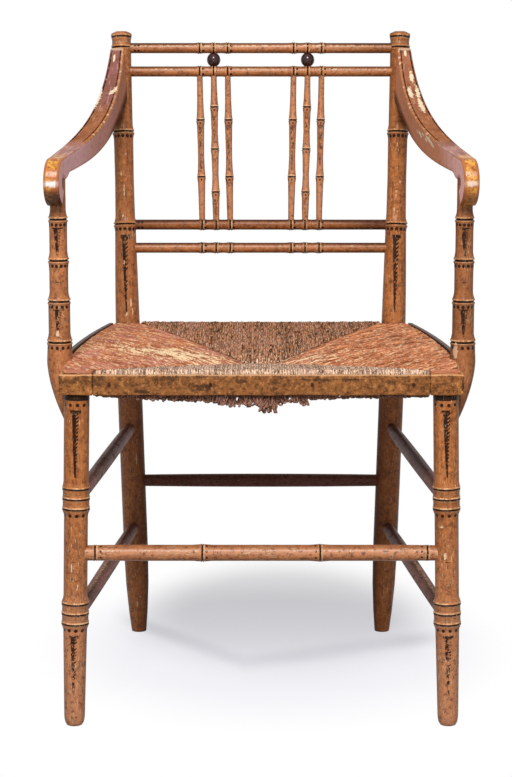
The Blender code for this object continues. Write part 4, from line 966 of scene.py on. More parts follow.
for word, side in SIDES.items():
    for order, count in (("inner", -1), ("centre", 0), ("outer", 1)):
        offset = SPINDLE_SPACING * count
        central = order == "centre"
        shares = CENTRE_RINGS if central else OUTER_RINGS
        leaves = CENTRE_LEAVES if central else OUTER_LEAVES
        top_x, foot_x = side * (UPPER_GROUP_X + offset), side * (LOWER_GROUP_X + offset)
        spindle(f"spindle_{word}_{order}", top_x, foot_x, shares, leaves)
    turn = np.linspace(0.2, np.pi - 0.2, BEAD_ROWS)
    places = BEAD_Z - BEAD_HALF * np.cos(turn)
    centres = post_axis(1, places)
    centres[:, 0] = side * UPPER_GROUP_X
    turned_piece(f"bead_{word}", places, centres, BEAD_RADIUS * np.sin(turn) ** 0.9, UPRIGHT_ASIDE,
                 bead_finish)
print("spindles and beads:", len(TURNED), "turned pieces so far")

# %% [markdown]
# ## Stretchers
# The front stretcher is ringed like the rails. The others are plain brown sticks that swell to their
# middle, set at two heights on each side. They run from axis to axis, so their ends are always buried
# in the sticks that they join.

# %% Front stretcher
FRONT_STRETCHER_Z = 0.220
FRONT_RING_X = 0.0727
FRONT_DOTS_X = 0.0672
END_RING = 0.0245
END_DOTS = 0.0315
BURIED = 0.008
front_end = leg_axis(1, FRONT_STRETCHER_Z)
front_rings = [-FRONT_RING_X, FRONT_RING_X, -front_end[0] + END_RING, front_end[0] - END_RING]
front_rows = [-FRONT_DOTS_X, FRONT_DOTS_X, -front_end[0] + END_DOTS, front_end[0] - END_DOTS]
front_places = turned_places(-front_end[0] + BURIED, front_end[0] - BURIED, front_rings)
front_knots = [(-0.23, 0.0094), (-0.17, 0.0100)]
for ring in front_rings[:2]:
    front_knots += [(ring - 0.012, 0.0100), (ring - 0.002, 0.0108)]
    front_knots += [(ring + 0.002, 0.0108), (ring + 0.012, 0.0100)]
front_knots += [(0.17, 0.0100), (0.23, 0.0094)]
# Its tone is dust on top and painted shade underneath; its rub and wear are a painted highlight along its
# front.
turned_piece(
    "front_stretcher", front_places, level_line(front_places, front_end[1], FRONT_STRETCHER_Z),
    turned_radius(front_places, front_knots, front_rings, 0.55), RAIL_ASIDE, OCHRE_STICK, RAIL_SIDES,
    front_rings, front_rows, dots=8, dot=0.0015,
    tone=dust_and_under_shade((0.0, 0.36)), rub=0.20 + painted_highlight_band(0.55),
    wear=highlight_flecks(front_end[1], FRONT_STRETCHER_Z, 0.50),
)


print("front stretcher:", len(front_places), "rows")

# %% Plain stretchers
BACK_STRETCHER_Z = 0.2275
STRETCHER_LEVELS = (("upper", 0.286, 0.307), ("lower", 0.137, 0.160))
STRETCHER_SIDES = 28
STRETCHER_ROWS = 60


def plain_stretcher(name, start, end, aside, tone, wear=None):
    """A straight stick that swells by a cosine from its ends to its middle."""
    length = np.linalg.norm(end - start)
    places = np.linspace(BURIED, length - BURIED, STRETCHER_ROWS)
    swell = 0.0080 + 0.0014 * np.cos((places / length - 0.5) * np.pi) ** 0.8
    centres = blend(start, end, (places / length)[:, None])
    turned_piece(name, places, centres, swell, aside, BROWN_STICK, STRETCHER_SIDES, tone=tone, wear=wear)


def painted_spine_shade(side, base, depth):
    """Painted shade along the top of a side stretcher, leaning 15 degrees to the middle of the chair."""
    turn = np.linspace(-np.pi, np.pi, STRETCHER_SIDES, endpoint=False) + side * np.radians(15)
    return base + depth * np.exp(-(np.roll(turn, -STRETCHER_SIDES // 2) / np.radians(34)) ** 2)[None]


def rubbed_spine(points):
    """Wear along the top of a lower side stretcher, most of it where feet rest in front."""
    middle = points.mean(1, keepdims=True)
    rise = unit(points - middle)[..., 2]
    forward = np.interp(points[..., 1], (-0.2, 0.02, 0.12), (0.60, 0.55, 0.30))
    return forward * np.clip(rise, 0, 1) ** 6


# Base tone and depth of the painted shade along each side's stretchers.
SPINE_SHADES = {"left": (0.08, 0.50), "right": (0.46, 0.34)}
back_ends = [post_axis(side, BACK_STRETCHER_Z) for side in SIDES.values()]
plain_stretcher("back_stretcher", *back_ends, RAIL_ASIDE, 0.64)
for word, side in SIDES.items():
    for level, front_z, back_z in STRETCHER_LEVELS:
        ends = leg_axis(side, front_z), post_axis(side, back_z)
        worn = rubbed_spine if level == "lower" else None
        plain_stretcher(f"{word}_{level}_stretcher", *ends, (0, 0, 1), painted_spine_shade(side, *SPINE_SHADES[word]), worn)
print("turned pieces:", len(TURNED))

# %% [markdown]
# ## Boards: arms, blocks and strips
# The arms are sawn from boards, and the seat is edged with small blocks and strips. A cube with a Bevel
# modifier would do for the blocks, but the arms change in height and roll over at the front. So one
# function carries a rounded rectangle along a row of places, each with its own width, height and
# direction, and stores how far a point lies from both edges of the board and below its top.


# %% Rounded boards
def rounded_section(flat_points, corner_points):
    """A unit rounded rectangle as (sign x, sign y, round x, round y), counter-clockwise from the right."""
    corner = np.linspace(0, np.pi / 2, corner_points)
    flat = np.linspace(-1, 1, flat_points + 2)[1:-1]
    ones, side = np.ones(corner_points), np.ones(flat_points)
    runs = []
    for quarter, (sx, sy) in enumerate(((1, 1), (-1, 1), (-1, -1), (1, -1))):
        angle = corner + quarter * np.pi / 2
        runs.append(np.stack([sx * ones, sy * ones, np.cos(angle), np.sin(angle)], -1))
        if quarter % 2 == 0:
            runs.append(np.stack([-sx * flat, sy * side, 0 * side, sy * side], -1))
        else:
            runs.append(np.stack([sx * side, -sy * flat, sx * side, 0 * side], -1))
    return np.concatenate(runs)


def lengths_along(points):
    """Length of a line of points up to each of them."""
    return np.concatenate([[0], np.cumsum(np.linalg.norm(np.diff(points, axis=0), axis=1))])


def board(name, centres, across, upward, half_width, half_height, radius, finish, stored=None):
    """A rounded rectangle carried along centres: across and upward are unit directions at each place."""
    section = rounded_section(9, 5)
    halfway = len(centres) // 2
    forward = centres[halfway + 1] - centres[halfway]
    if np.dot(np.cross(across[halfway], upward[halfway]), forward) < 0:
        section = section[::-1]
    wide = section[:, 0] * (half_width[:, None] - radius) + radius * section[:, 2]
    high = section[:, 1] * (half_height[:, None] - radius) + radius * section[:, 3]
    points = centres[:, None] + wide[..., None] * across[:, None] + high[..., None] * upward[:, None]
    held = {
        "sunk": half_height[:, None] - high,
        "edge": half_width[:, None] - wide,
        "far_edge": half_width[:, None] + wide,
    }
    held.update(stored(points, held) if stored else {})
    uv = tube_uv(lengths_along(centres), len(section))
    add_piece(f"painted_{name}", points.reshape(-1, 3), tube_faces(*wide.shape), uv, held, finish, name)


print("board helper ready")

# %% [markdown]
# ## Paint of the boards
# The strips and blocks share the ochre paint, but feet and brooms have scuffed them: dark dents, bruises
# and a rubbed pale line along the top edge that is partly a painted highlight. The arms have a darker
# mauve-brown field between two black lines, its mauve partly a painted reflection, a rubbed golden inner
# edge, and a golden front where hands lay. A painted sheen pales their sides, and the roll has a painted
# white highlight with painted shade below it. All of it is masked by the numbers stored on the boards,
# so it follows their curve.


# %% Scuffed strip and block paint
def scuffed_paint(name, colours, top_glow):
    """Ochre paint with dents, grime in patches, dark stains and a rubbed top edge, partly a painted
    highlight.
    """
    made, shader, make, here = new_finish(name, Coat_Roughness=0.25, Specular_IOR_Level=0.1)
    deep, top = colours["deep"], colours["top"]
    stretched = make.node("ShaderNodeMapping", None, {"Vector": here, "Scale": (30.0, 70.0, 70.0)})
    upright = make.node("ShaderNodeMapping", None, {"Vector": here, "Scale": (150.0, 150.0, 40.0)})
    cloud = here.noise(36.0, 4.0, 0.6).between(0.36, 0.66)
    smear = stretched.noise(1.0, 5.0, 0.7)
    mottle = here.noise(180.0, 5.0, 0.75)
    dent = here.noise(240.0, 3.0, 0.6)
    mark = upright.noise(1.0, 3.0, 0.6)
    sunk, stain = attributes(make, "sunk", "stain")
    stain = (stain + (mottle - 0.5) * 1.2).between(0.42, 0.60)
    pale = dent.between(0.34, 0.27) * 0.6
    # The pale top edge is rubbed paint and partly a painted highlight along it.
    rubbed = (sunk + (mottle - 0.5) * 0.004).between(0.0018, 0.0006) * top_glow
    colour = layered(
        colours["middle"], (cloud, 0.8, colours["pale"]), (smear.between(0.50, 0.66), 0.70, deep),
        (mottle.between(0.51, 0.60), 0.76, deep), (mottle.between(0.46, 0.36), 0.74, colours["lip"]),
        (dent.between(0.62, 0.70), 0.7, deep), (mark.between(0.68, 0.75), 0.7, DARK_LINE),
        (stain, 0.78, rgb(0.045, 0.018, 0.007)), (pale, 1.0, top), (rubbed, 1.0 - stain, top),
    )
    rough = 0.45 + smear * 0.2 + pale * 0.2
    height = smear * 0.4 + mottle * 0.5 - dent.between(0.58, 0.72) * 0.8 - mark.between(0.64, 0.74) * 0.6
    feed(shader, Base_Color=colour, Roughness=rough, Coat_Weight=0.10 - pale * 0.15)
    feed(shader, Normal=bumped(make, height, 0.7, 0.0008))
    return made


STRIP = {
    "pale": rgb(0.350, 0.132, 0.036),
    "middle": rgb(0.235, 0.082, 0.022),
    "deep": rgb(0.055, 0.024, 0.007),
    "lip": rgb(0.52, 0.235, 0.074),
    "top": rgb(0.60, 0.31, 0.135),
}
EDGE = {
    "pale": rgb(0.090, 0.052, 0.038),
    "middle": rgb(0.050, 0.028, 0.021),
    "deep": rgb(0.020, 0.011, 0.009),
    "lip": rgb(0.16, 0.095, 0.070),
    "top": rgb(0.13, 0.078, 0.066),
}
BLOCK = {key: rgb(*(min(1.0, 1.16 * part) for part in value[:3])) for key, value in STRIP.items()}
STRIP_PAINT = scuffed_paint("ochre_paint_scuffed", STRIP, 0.8)
BLOCK_PAINT = scuffed_paint("ochre_paint_of_blocks", BLOCK, 0.8)
SIDE_STRIP_PAINT = scuffed_paint("brown_paint_of_side_strips", EDGE, 0.7)
print("board paints:", STRIP_PAINT.name, SIDE_STRIP_PAINT.name)

# %% Corner blocks and front strip
SEAT_TOP = 0.446
SEAT_FRONT = -0.247
BLOCK_BACK = -0.207
BLOCK_X = (0.2048, 0.2458)
STRIP_BACK = -0.241
STRIP_HALF = 0.2045
WAVES = (0.00022, 0.00016)
BACKWARD = np.array([0, 1.0, 0])
UPWARD = np.array([0, 0, 1.0])


def straight_board(name, x_from, x_to, y_to, radius, finish, count):
    """A board along X behind the seat's front, rounded in its cross-section and drawn in at its ends."""
    ends = np.array([0, 0.3, 0.7, 1]) * radius
    inner = np.linspace(x_from + radius, x_to - radius, count)[1:-1]
    places = np.concatenate([x_from + ends, inner, x_to - ends[::-1]])
    from_end = np.minimum(places - x_from, x_to - places)
    inset = radius - np.sqrt(np.clip(radius ** 2 - np.clip(radius - from_end, 0, radius) ** 2, 0, None))
    wave = WAVES[0] * np.sin(places * 61 + 1.3) + WAVES[1] * np.sin(places * 147) - sum(WAVES)
    middle = level_line(places, (SEAT_FRONT + y_to) / 2, (SEAT_TOP + BLOCK_BOTTOM) / 2)
    half_width = (y_to - SEAT_FRONT) / 2 - 0.9 * inset + wave
    half_height = (SEAT_TOP - BLOCK_BOTTOM) / 2 - 0.9 * inset + wave
    board(name, middle, np.broadcast_to(-BACKWARD, middle.shape), np.broadcast_to(UPWARD, middle.shape),
          half_width, half_height, radius * 0.98, finish, stained)


# Each stain on the front: its middle in x and z, and its half sizes.
STAINS = (
    ((-0.1603, 0.4370), (0.0016, 0.0085)), ((-0.1264, 0.4340), (0.0018, 0.0110)),
    ((-0.1450, 0.4250), (0.0120, 0.0022)), ((0.1800, 0.4385), (0.0016, 0.0016)),
    ((0.1800, 0.4325), (0.0016, 0.0016)), ((0.0900, 0.4392), (0.0650, 0.0011)),
    ((-0.0700, 0.4300), (0.0100, 0.0045)), ((0.2440, 0.4310), (0.0016, 0.0080)),
    ((-0.0250, 0.4375), (0.0080, 0.0030)),
)


def stained(points, held):
    """Dark stains, by their places in x and z."""
    return {"stain": spotted(points[..., [0, 2]], STAINS)}


for word, side in SIDES.items():
    inner, outer = sorted(side * x for x in BLOCK_X)
    straight_board(f"corner_block_{word}", inner, outer, BLOCK_BACK, 0.0017, BLOCK_PAINT, 14)
straight_board("front_edge_strip", -STRIP_HALF, STRIP_HALF, STRIP_BACK, 0.0013, STRIP_PAINT, 120)
print("blocks and front strip: from", BLOCK_BOTTOM, "to", SEAT_TOP, "m")

# %% Side strips
SIDE_STRIP_ROWS = 40
SIDE_STRIP_Y = (-0.1735, 0.157)
SIDE_STRIP_Z = 0.4385
SIDE_STRIP_OUT = 0.0033
RUSH_FRONT = -0.2407
RUSH_BACK = float(post_axis(1, 0.434)[1]) + 0.016
RUSH_FRONT_HALF = 0.2425
RUSH_BACK_HALF = 0.2005
RUSH_BOW = 0.044


def rush_half(y):
    """Half width of the rush at a depth: straight taper to the back, and a slight bow."""
    share = (y - RUSH_FRONT) / (RUSH_BACK - RUSH_FRONT)
    return blend(RUSH_FRONT_HALF, RUSH_BACK_HALF, share) + RUSH_BOW * share * (1 - share)


strip_y = np.linspace(*SIDE_STRIP_Y, SIDE_STRIP_ROWS)
same = np.ones(SIDE_STRIP_ROWS)
for word, side in SIDES.items():
    centres = np.stack([side * (rush_half(strip_y) + SIDE_STRIP_OUT), strip_y, SIDE_STRIP_Z * same], -1)
    sideways = np.cross(unit(np.gradient(centres, axis=0)), UPWARD)
    board(f"{word}_edge_strip", centres, sideways, np.broadcast_to(UPWARD, centres.shape), 0.003 * same,
          0.0185 * same, 0.0012, SIDE_STRIP_PAINT)
print("side strips:", SIDE_STRIP_ROWS, "rows each")

# %% [markdown]
# ## Arms
# Each arm sweeps down from high on the post and rolls over at the front. Its top and its underside are
# two curves seen from the side, paired point by point, and the rounded section spans from one to the
# other. The roll is the same with two arcs. Seen from above the board is straight and splayed, so every
# point is moved sideways by its depth at the end.

# %% Arm curves
ROLL_Y = -0.203
ROLL_Z = 0.6755
ROLL_RADIUS = 0.0295
ROLL_INNER = 0.0085
ROLL_TURN = np.radians(160)
ARM_TOP_Z = 0.8364
ARM_LOW_Z = 0.7638
ARM_UNDER_Z = 0.684
POST_RADIUS = 0.0132
ARM_SWELL = 0.0075
ARM_FLARE = 0.0055
KNEE_Y = -0.190
KNEE_DROP = 0.0062
KNEE_HALF = 0.011
ARM_ROWS = 110
ROLL_ROWS = 44
ARM_BACK_X = 0.2001
ARM_FRONT_X = 0.2530
ARM_CORNER = 0.0028
ARM_BACK_Y = float(post_axis(1, ARM_TOP_Z)[1]) - POST_RADIUS
ARM_FRONT_Y = ROLL_Y - ROLL_RADIUS


def bezier(start, first, second, end, count):
    """Points of a cubic Bezier curve from its four controls."""
    t = np.linspace(0, 1, count)[:, None]
    start, first, second, end = map(np.asarray, (start, first, second, end))
    return (1 - t) ** 3 * start + 3 * t * (1 - t) ** 2 * first + 3 * t ** 2 * (1 - t) * second + t ** 3 * end


def arm_edges():
    """Top and under edges of an arm in (y, z), paired from the post to the end of the roll."""
    top_end = np.array([ARM_BACK_Y - 0.006, ARM_TOP_Z])
    low_end = np.array([float(post_axis(1, ARM_LOW_Z)[1]) - POST_RADIUS, ARM_LOW_Z])
    span = top_end[0] - ROLL_Y
    fall = ARM_TOP_Z - (ROLL_Z + ROLL_RADIUS)
    low_fall = ARM_LOW_Z - ARM_UNDER_Z
    roll_top = np.array([ROLL_Y, ROLL_Z + ROLL_RADIUS])
    roll_under = np.array([ROLL_Y, ARM_UNDER_Z])
    top = bezier(top_end, top_end - (0.185 * span, 0.67 * fall), roll_top + (0.47 * span, 0.16 * fall),
                 roll_top, ARM_ROWS)
    under = bezier(low_end, low_end - (0.33 * span, 0.73 * low_fall),
                   roll_under + (0.40 * span, 0.11 * low_fall), roll_under, ARM_ROWS)
    turn = np.pi / 2 + np.linspace(0, ROLL_TURN, ROLL_ROWS)[1:]
    spoke = np.stack([np.cos(turn), np.sin(turn)], -1)
    centre = np.array([ROLL_Y, ROLL_Z])
    into_post = np.array([0.0072, 0])
    top = np.concatenate([[top[0] + into_post], top, centre + ROLL_RADIUS * spoke])
    under = np.concatenate([[under[0] + into_post], under, centre + ROLL_INNER * spoke])
    under[:, 1] -= KNEE_DROP * np.exp(-((under[:, 0] - KNEE_Y) / KNEE_HALF) ** 2)
    return top, under


ARM_TOP_EDGE, ARM_UNDER_EDGE = arm_edges()
ARM_LENGTHS = lengths_along(ARM_TOP_EDGE)
ARM_ROLL_START = ARM_LENGTHS[ARM_ROWS]
ARM_FRONT_MOST = ARM_ROLL_START + ROLL_RADIUS * np.pi / 2
print("arm: sweep", round(ARM_ROLL_START, 4), "m, whole top edge", round(ARM_LENGTHS[-1], 4), "m")


# %% Colours of the arms
def arm_sides(along, inner, warm, low, streak, blotch):
    """Flat sides with a painted sheen: brown at the post, pale mauve at the front, browner if warm, dull
    outside.
    """
    start = warm.over(rgb(0.73, 0.355, 0.235), rgb(0.80, 0.340, 0.175))
    middle = warm.over(rgb(0.84, 0.460, 0.385), rgb(0.70, 0.285, 0.135))
    side = along.between(0.04, 0.20).over(start, middle)
    # Towards the front the sides turn near white and mauve: a painted sheen standing in for light on them.
    front = warm.over(rgb(1.00, 0.625, 0.620), rgb(1.00, 0.580, 0.530))
    side = (along - warm * 0.10).between(0.24, 0.38).over(side, front)
    side = inner.over(rgb(0.29, 0.140, 0.110), side)
    # Painted shade in the nook under the arm by the post.
    painted_nook_shade = low.between(0.66, 0.90) * along.between(0.18, 0.09)
    return layered(
        side, (painted_nook_shade, 0.8, rgb(0.060, 0.026, 0.016)),
        (blotch.between(0.52, 0.64), 0.32, rgb(0.30, 0.130, 0.095)),
        (streak.between(0.56, 0.70), 0.5, rgb(0.90, 0.60, 0.50)),
    )


def arm_field(along, warm, cloud, streak, blotch):
    """The top: mauve (partly a painted reflection), orange brown mid-sweep, then mauve with pale streaks."""
    low = along.between(0.12, 0.19)
    late = along.between(ARM_ROLL_START - 0.14, ARM_ROLL_START - 0.07)
    return layered(
        # The mauve of the top is partly a painted reflection.
        (low | warm).over(rgb(0.31, 0.126, 0.108), rgb(0.42, 0.155, 0.066)),
        (cloud, 0.5, rgb(0.20, 0.070, 0.038)), (blotch.between(0.53, 0.64), 0.6, rgb(0.15, 0.055, 0.035)),
        (late, 1.0, (cloud * 0.7).over(rgb(0.50, 0.270, 0.235), rgb(0.30, 0.140, 0.110))),
        (streak.between(0.56, 0.66), late * 0.4 + 0.4, rgb(0.78, 0.52, 0.40)),
    )


def arm_roll(along, rim, warm, patch, blotch, spot):
    """The roll: red and yellow gold in patches with dark specks, a painted white highlight in front, painted
    shade below.
    """
    # Painted shade on the tail of the roll, below its front.
    tail = along.between(ARM_FRONT_MOST + 0.004, ARM_FRONT_MOST + 0.014) * (1.0 - warm * 0.85)
    # A painted white highlight along the front-most line of the roll.
    rubbed = abs(along - ARM_FRONT_MOST + (blotch - 0.5) * 0.010).between(0.0054, 0.0010) * (1.0 - rim * 0.7)
    return layered(
        patch.over(rgb(0.52, 0.160, 0.030), rgb(0.74, 0.350, 0.060)),
        (spot.between(0.53, 0.62), 0.85, rgb(0.15, 0.050, 0.012)),
        (blotch.between(0.54, 0.64), 0.7, rgb(0.24, 0.080, 0.020)),
        (blotch.between(0.42, 0.34), 0.5, rgb(0.92, 0.62, 0.30)), (rim, 0.85, rgb(0.42, 0.125, 0.040)),
        (tail, blotch.between(0.66, 0.52) * 0.6 + 0.32, rgb(0.060, 0.020, 0.008)),
        (rubbed, 0.95 - warm * 0.4, warm.over(rgb(1.0, 0.87, 0.82), rgb(1.0, 0.84, 0.62))),
    )


print("arm colours ready")


# %% Arm paint
def arm_paint():
    """Sides, top and roll by the numbers stored on the arm, then black lines, gilded edge and chips."""
    made, shader, make, here = new_finish("ochre_paint_of_arms", Coat_Roughness=0.22, Specular_IOR_Level=0.0)
    edge, far_edge, sunk, along = attributes(make, "edge", "far_edge", "sunk", "top_along")
    warm, low, wear = attributes(make, "warm", "low", "wear")
    flow = joined(make, edge * 330.0, along * 34.0, sunk * 330.0)
    cloud = here.noise(30.0, 4.0, 0.6).between(0.36, 0.66)
    streak = flow.noise(1.0, 4.0, 0.6)
    blotch = here.noise(120.0, 5.0, 0.7)
    spot = here.noise(380.0, 3.0, 0.6)
    patch = here.noise(70.0, 3.0, 0.6).between(0.40, 0.60)
    top_face = sunk.between(0.0034, 0.0016)
    roll = along.between(ARM_ROLL_START - 0.026, ARM_ROLL_START - 0.010)
    rim = edge.math("MINIMUM", far_edge).between(0.0046, 0.0030)
    golden = arm_roll(along, rim, warm, patch, blotch, spot)
    top = roll.over(arm_field(along, warm, cloud, streak, blotch), golden)
    inner = (far_edge - edge).between(-0.003, 0.003)
    colour = top_face.over(arm_sides(along, inner, warm, low, streak, blotch), top)
    gilded = edge.between(0.0032, 0.0020) * sunk.between(0.0048, 0.0030)
    gilded = gilded * along.between(ARM_ROLL_START - 0.09, ARM_ROLL_START - 0.16)
    gilt = layered(
        rgb(0.46, 0.165, 0.055), (cloud, 0.8, rgb(0.66, 0.29, 0.110)), (warm, 0.6, rgb(0.40, 0.160, 0.075)),
        (blotch.between(0.46, 0.36), 0.8, rgb(0.95, 0.66, 0.42)),
    )
    lined = top_face * along.between(ARM_ROLL_START - 0.095, ARM_ROLL_START - 0.135)
    shaky = (blotch - 0.5) * 0.0016
    inner_line = abs(edge - 0.0042 + shaky).between(0.0010, 0.0005)
    outer_line = abs(far_edge - 0.0028 + shaky).between(0.0012, 0.0006)
    lines = (inner_line | outer_line) * lined * blotch.between(0.36, 0.44)
    under_ring = along.between(0.0125, 0.0095) * top_face
    chip = (wear + (here.noise(230.0, 5.0, 0.72) - 0.5) * 2.2).between(0.50, 0.56)
    colour = layered(
        colour, (gilded, blotch.between(0.66, 0.52) * 0.5 + 0.45, gilt), (lines, 0.95, DARK_LINE),
        (under_ring, 0.7, rgb(0.70, 0.48, 0.32)),
        # Chips on the sides are painted paler than on the top, for the light on them.
        (chip, 0.92, top_face.over(rgb(1.0, 0.90, 0.64), rgb(0.92, 0.73, 0.50))),
    )
    rough = 0.45 + blotch * 0.2 + chip * 0.3
    height = streak * 0.35 + blotch * 0.35 + spot * 0.2 - chip * 0.8 - lines * 0.4
    feed(shader, Base_Color=colour, Roughness=rough, Coat_Weight=roll * top_face * 0.5)
    feed(shader, Normal=bumped(make, height, 0.5, 0.0006))
    return made


ARM_PAINT = arm_paint()
print("arm paint:", ARM_PAINT.name)

# %% Arms
RIGHTWARD = np.array([1.0, 0, 0])


def arm_thickness(depth):
    """Board thickness and how much of it is the inner swell, from the post at 0 to the roll's front at 1."""
    inside = np.clip(depth, 0, 1)
    swell = ARM_SWELL * np.sin(np.pi * inside ** 0.75)
    return 0.0174 + 0.0016 * depth + swell, swell


def arm_depth(y):
    """Share of the way from the post to the front of the roll."""
    return (ARM_BACK_Y - y) / (ARM_BACK_Y - ARM_FRONT_Y)


def arm(word, side, warm, chips):
    """An arm as a board between its two edge curves, splayed, swelled and flared by depth."""
    middle = (ARM_TOP_EDGE + ARM_UNDER_EDGE) / 2
    reach = ARM_TOP_EDGE - ARM_UNDER_EDGE
    height = np.linalg.norm(reach, axis=1)
    count = len(middle)
    centres = np.concatenate([np.zeros((count, 1)), middle], 1)
    upward = np.concatenate([np.zeros((count, 1)), reach / height[:, None]], 1)
    half_width = arm_thickness(arm_depth(middle[:, 0]))[0] / 2

    def measured(points, held):
        depth = arm_depth(points[..., 1])
        thickness, swell = arm_thickness(depth)
        points[..., 0] *= thickness / 2 / half_width[:, None]
        points[..., 0] += side * (blend(ARM_BACK_X, ARM_FRONT_X, depth) - swell / 2)
        inner_share = 1 - held["edge"] / (2 * half_width[:, None])
        flare = ARM_FLARE * np.clip(1 - depth / 0.28, 0, 1) ** 2
        low = held["sunk"] / height[:, None]
        points[..., 0] -= side * flare * inner_share * low
        top_along = np.outer(ARM_LENGTHS, np.ones(points.shape[1]))
        wear = spotted(np.stack([top_along, held["edge"], held["sunk"]], -1), chips)
        return {"top_along": top_along, "wear": wear, "warm": np.full(points.shape[:2], warm), "low": low}

    across = np.broadcast_to(-side * RIGHTWARD, (count, 3))
    board(f"arm_{word}", centres, across, upward, half_width, height / 2, ARM_CORNER, ARM_PAINT, measured)


# Each chip: length along the top edge, distance from the inner edge and depth below the top, then half sizes.
ARM_CHIPS = {
    "left": [
        ((0.026, 0.0123, 0), (0.007, 0.0018, 0.004)), ((0.124, 0.0238, 0), (0.036, 0.0026, 0.004)),
        ((0.096, 0.0030, 0), (0.007, 0.0020, 0.004)), ((0.102, 0.0060, 0), (0.007, 0.0020, 0.004)),
        ((0.108, 0.0095, 0), (0.007, 0.0020, 0.004)),
    ],
    "right": [
        ((0.017, 0.0100, 0), (0.006, 0.0018, 0.004)), ((0.066, 0.0154, 0), (0.015, 0.0026, 0.004)),
        ((0.108, 0.0083, 0), (0.016, 0.0032, 0.004)), ((0.107, 0.0189, 0), (0.020, 0.0028, 0.004)),
        ((0.146, 0.0175, 0), (0.028, 0.0032, 0.004)), ((0.225, 0, 0.018), (0.012, 0.003, 0.0045)),
        ((0.285, 0, 0.008), (0.022, 0.003, 0.0035)), ((0.205, 0, 0.023), (0.007, 0.003, 0.0022)),
        ((0.248, 0, 0.010), (0.008, 0.003, 0.0022)), ((0.264, 0, 0.014), (0.007, 0.003, 0.0020)),
        ((0.306, 0, 0.013), (0.010, 0.003, 0.0020)),
    ],
}
ARM_WARMTH = {"left": 0.0, "right": 0.8}
for word, side in SIDES.items():
    arm(word, side, ARM_WARMTH[word], ARM_CHIPS[word])
print("arms:", len(ARM_TOP_EDGE), "rows each")

# %% [markdown]
# ## Rush seat
# Rush is twisted into one long cord and wound over the seat rails, so that four sections of parallel
# strands meet in seams that run to the middle. Hundreds of separate cords would be slow to build and
# would cut into each other. Each section is one closed surface instead: across it every strand is a
# half round, and along it the surface leaves the seam, dips to the rail, rolls over it and comes back
# underneath. The worn colour, the fibres, the twist and painted shade in the creases and seams come
# from the finish.

# %% Where the rush runs
MEETING_Y = -0.078
MEETING_HALF = 0.0165
POST_NOTCH_X = 0.1668
POST_NOTCH_Y = 0.1414
BLOCK_INNER = 0.2044
BLOCK_DEPTH = 0.040
FRONT_LEVEL = 0.4505
SIDE_LEVEL = 0.4580
BACK_LEVEL = 0.4568
BLOCK_SEAM_LEVEL = 0.4515
POST_SEAM_LEVEL = 0.4590
MIDDLE_LEVEL = 0.4350
HEM_LEVEL = 0.4180
BELLY = 0.026


def share_of(value, start, end):
    """Share of the way from start to end, kept between 0 and 1."""
    return np.clip((value - start) / (end - start), 0, 1)


def front_seam_level(share):
    """Height of the seams from the blocks to the middle."""
    return blend(BLOCK_SEAM_LEVEL, MIDDLE_LEVEL, share ** 1.1)


def back_seam_level(share):
    """Height of the seams from the posts to the middle."""
    return blend(POST_SEAM_LEVEL, MIDDLE_LEVEL, share ** 1.4)


def side_strands(y):
    """Seam, rail, rail height, seam height and seam share of side strands at depths y."""
    front, back = share_of(y, RUSH_FRONT, MEETING_Y), share_of(y, POST_NOTCH_Y, MEETING_Y)
    ahead = y < MEETING_Y
    level = blend(FRONT_LEVEL, SIDE_LEVEL, np.clip((y - RUSH_FRONT) / BLOCK_DEPTH, 0, 1))
    seam = np.where(ahead, blend(BLOCK_INNER, MEETING_HALF, front), blend(POST_NOTCH_X, MEETING_HALF, back))
    seam_level = np.where(ahead, front_seam_level(front), back_seam_level(back))
    return seam, rush_half(y), level, seam_level, np.where(ahead, front, back)


def front_strands(x):
    """The same for front strands at places x, with depth counted forwards."""
    share = share_of(np.abs(x), BLOCK_INNER, MEETING_HALF)
    seam = blend(-RUSH_FRONT, -MEETING_Y, share)
    return seam, np.full(len(x), -RUSH_FRONT), np.full(len(x), FRONT_LEVEL), front_seam_level(share), share


def back_strands(x):
    """The same for back strands at places x."""
    share = share_of(np.abs(x), POST_NOTCH_X, MEETING_HALF)
    seam = blend(POST_NOTCH_Y, MEETING_Y, share)
    return seam, np.full(len(x), RUSH_BACK), np.full(len(x), BACK_LEVEL), back_seam_level(share), share


print("rush heights: front", FRONT_LEVEL, "sides", SIDE_LEVEL, "back", BACK_LEVEL, "middle", MIDDLE_LEVEL)

# %% Strands side by side
STRAND_COLUMNS = 7
STRAND_ROWS = (18, 9, 10)
BLEACH_Y = -0.080
BLEACH_HALF = (0.090, 0.060)


def strand_loop(seam, rail, nose):
    """Reach and turn (1 on top, -1 underneath) round a closed loop of each strand, seam to rail and back."""
    top_rows, nose_rows, under_rows = STRAND_ROWS
    flat = rail - seam - nose
    top = np.linspace(0, 1, top_rows)[:, None] ** 0.8 * flat
    turn = np.linspace(0, np.pi, nose_rows + 2)[1:-1]
    under = np.linspace(1, 0, under_rows)[:, None] * flat
    reach = np.concatenate([top, flat + nose * np.sin(turn)[:, None], under])
    height = np.concatenate([np.ones(top_rows), np.cos(turn), -np.ones(under_rows)])
    return seam + reach, height[:, None]


def strand_columns(low, high, pitch, seed):
    """Columns across a section: place, round of the strand, strand number, part of it, and random numbers."""
    strands = int(round((high - low) / pitch))
    spread = np.linspace(0, strands, strands * STRAND_COLUMNS + 1)
    number = np.minimum(spread.astype(int), strands - 1)
    part = spread - number
    chance = np.random.default_rng(seed).random((3, strands))
    relief = 1 - np.sqrt(np.clip(1 - (0.97 * (2 * part - 1)) ** 2, 0, 1))
    return low + (high - low) * spread / strands, relief, number, part, chance


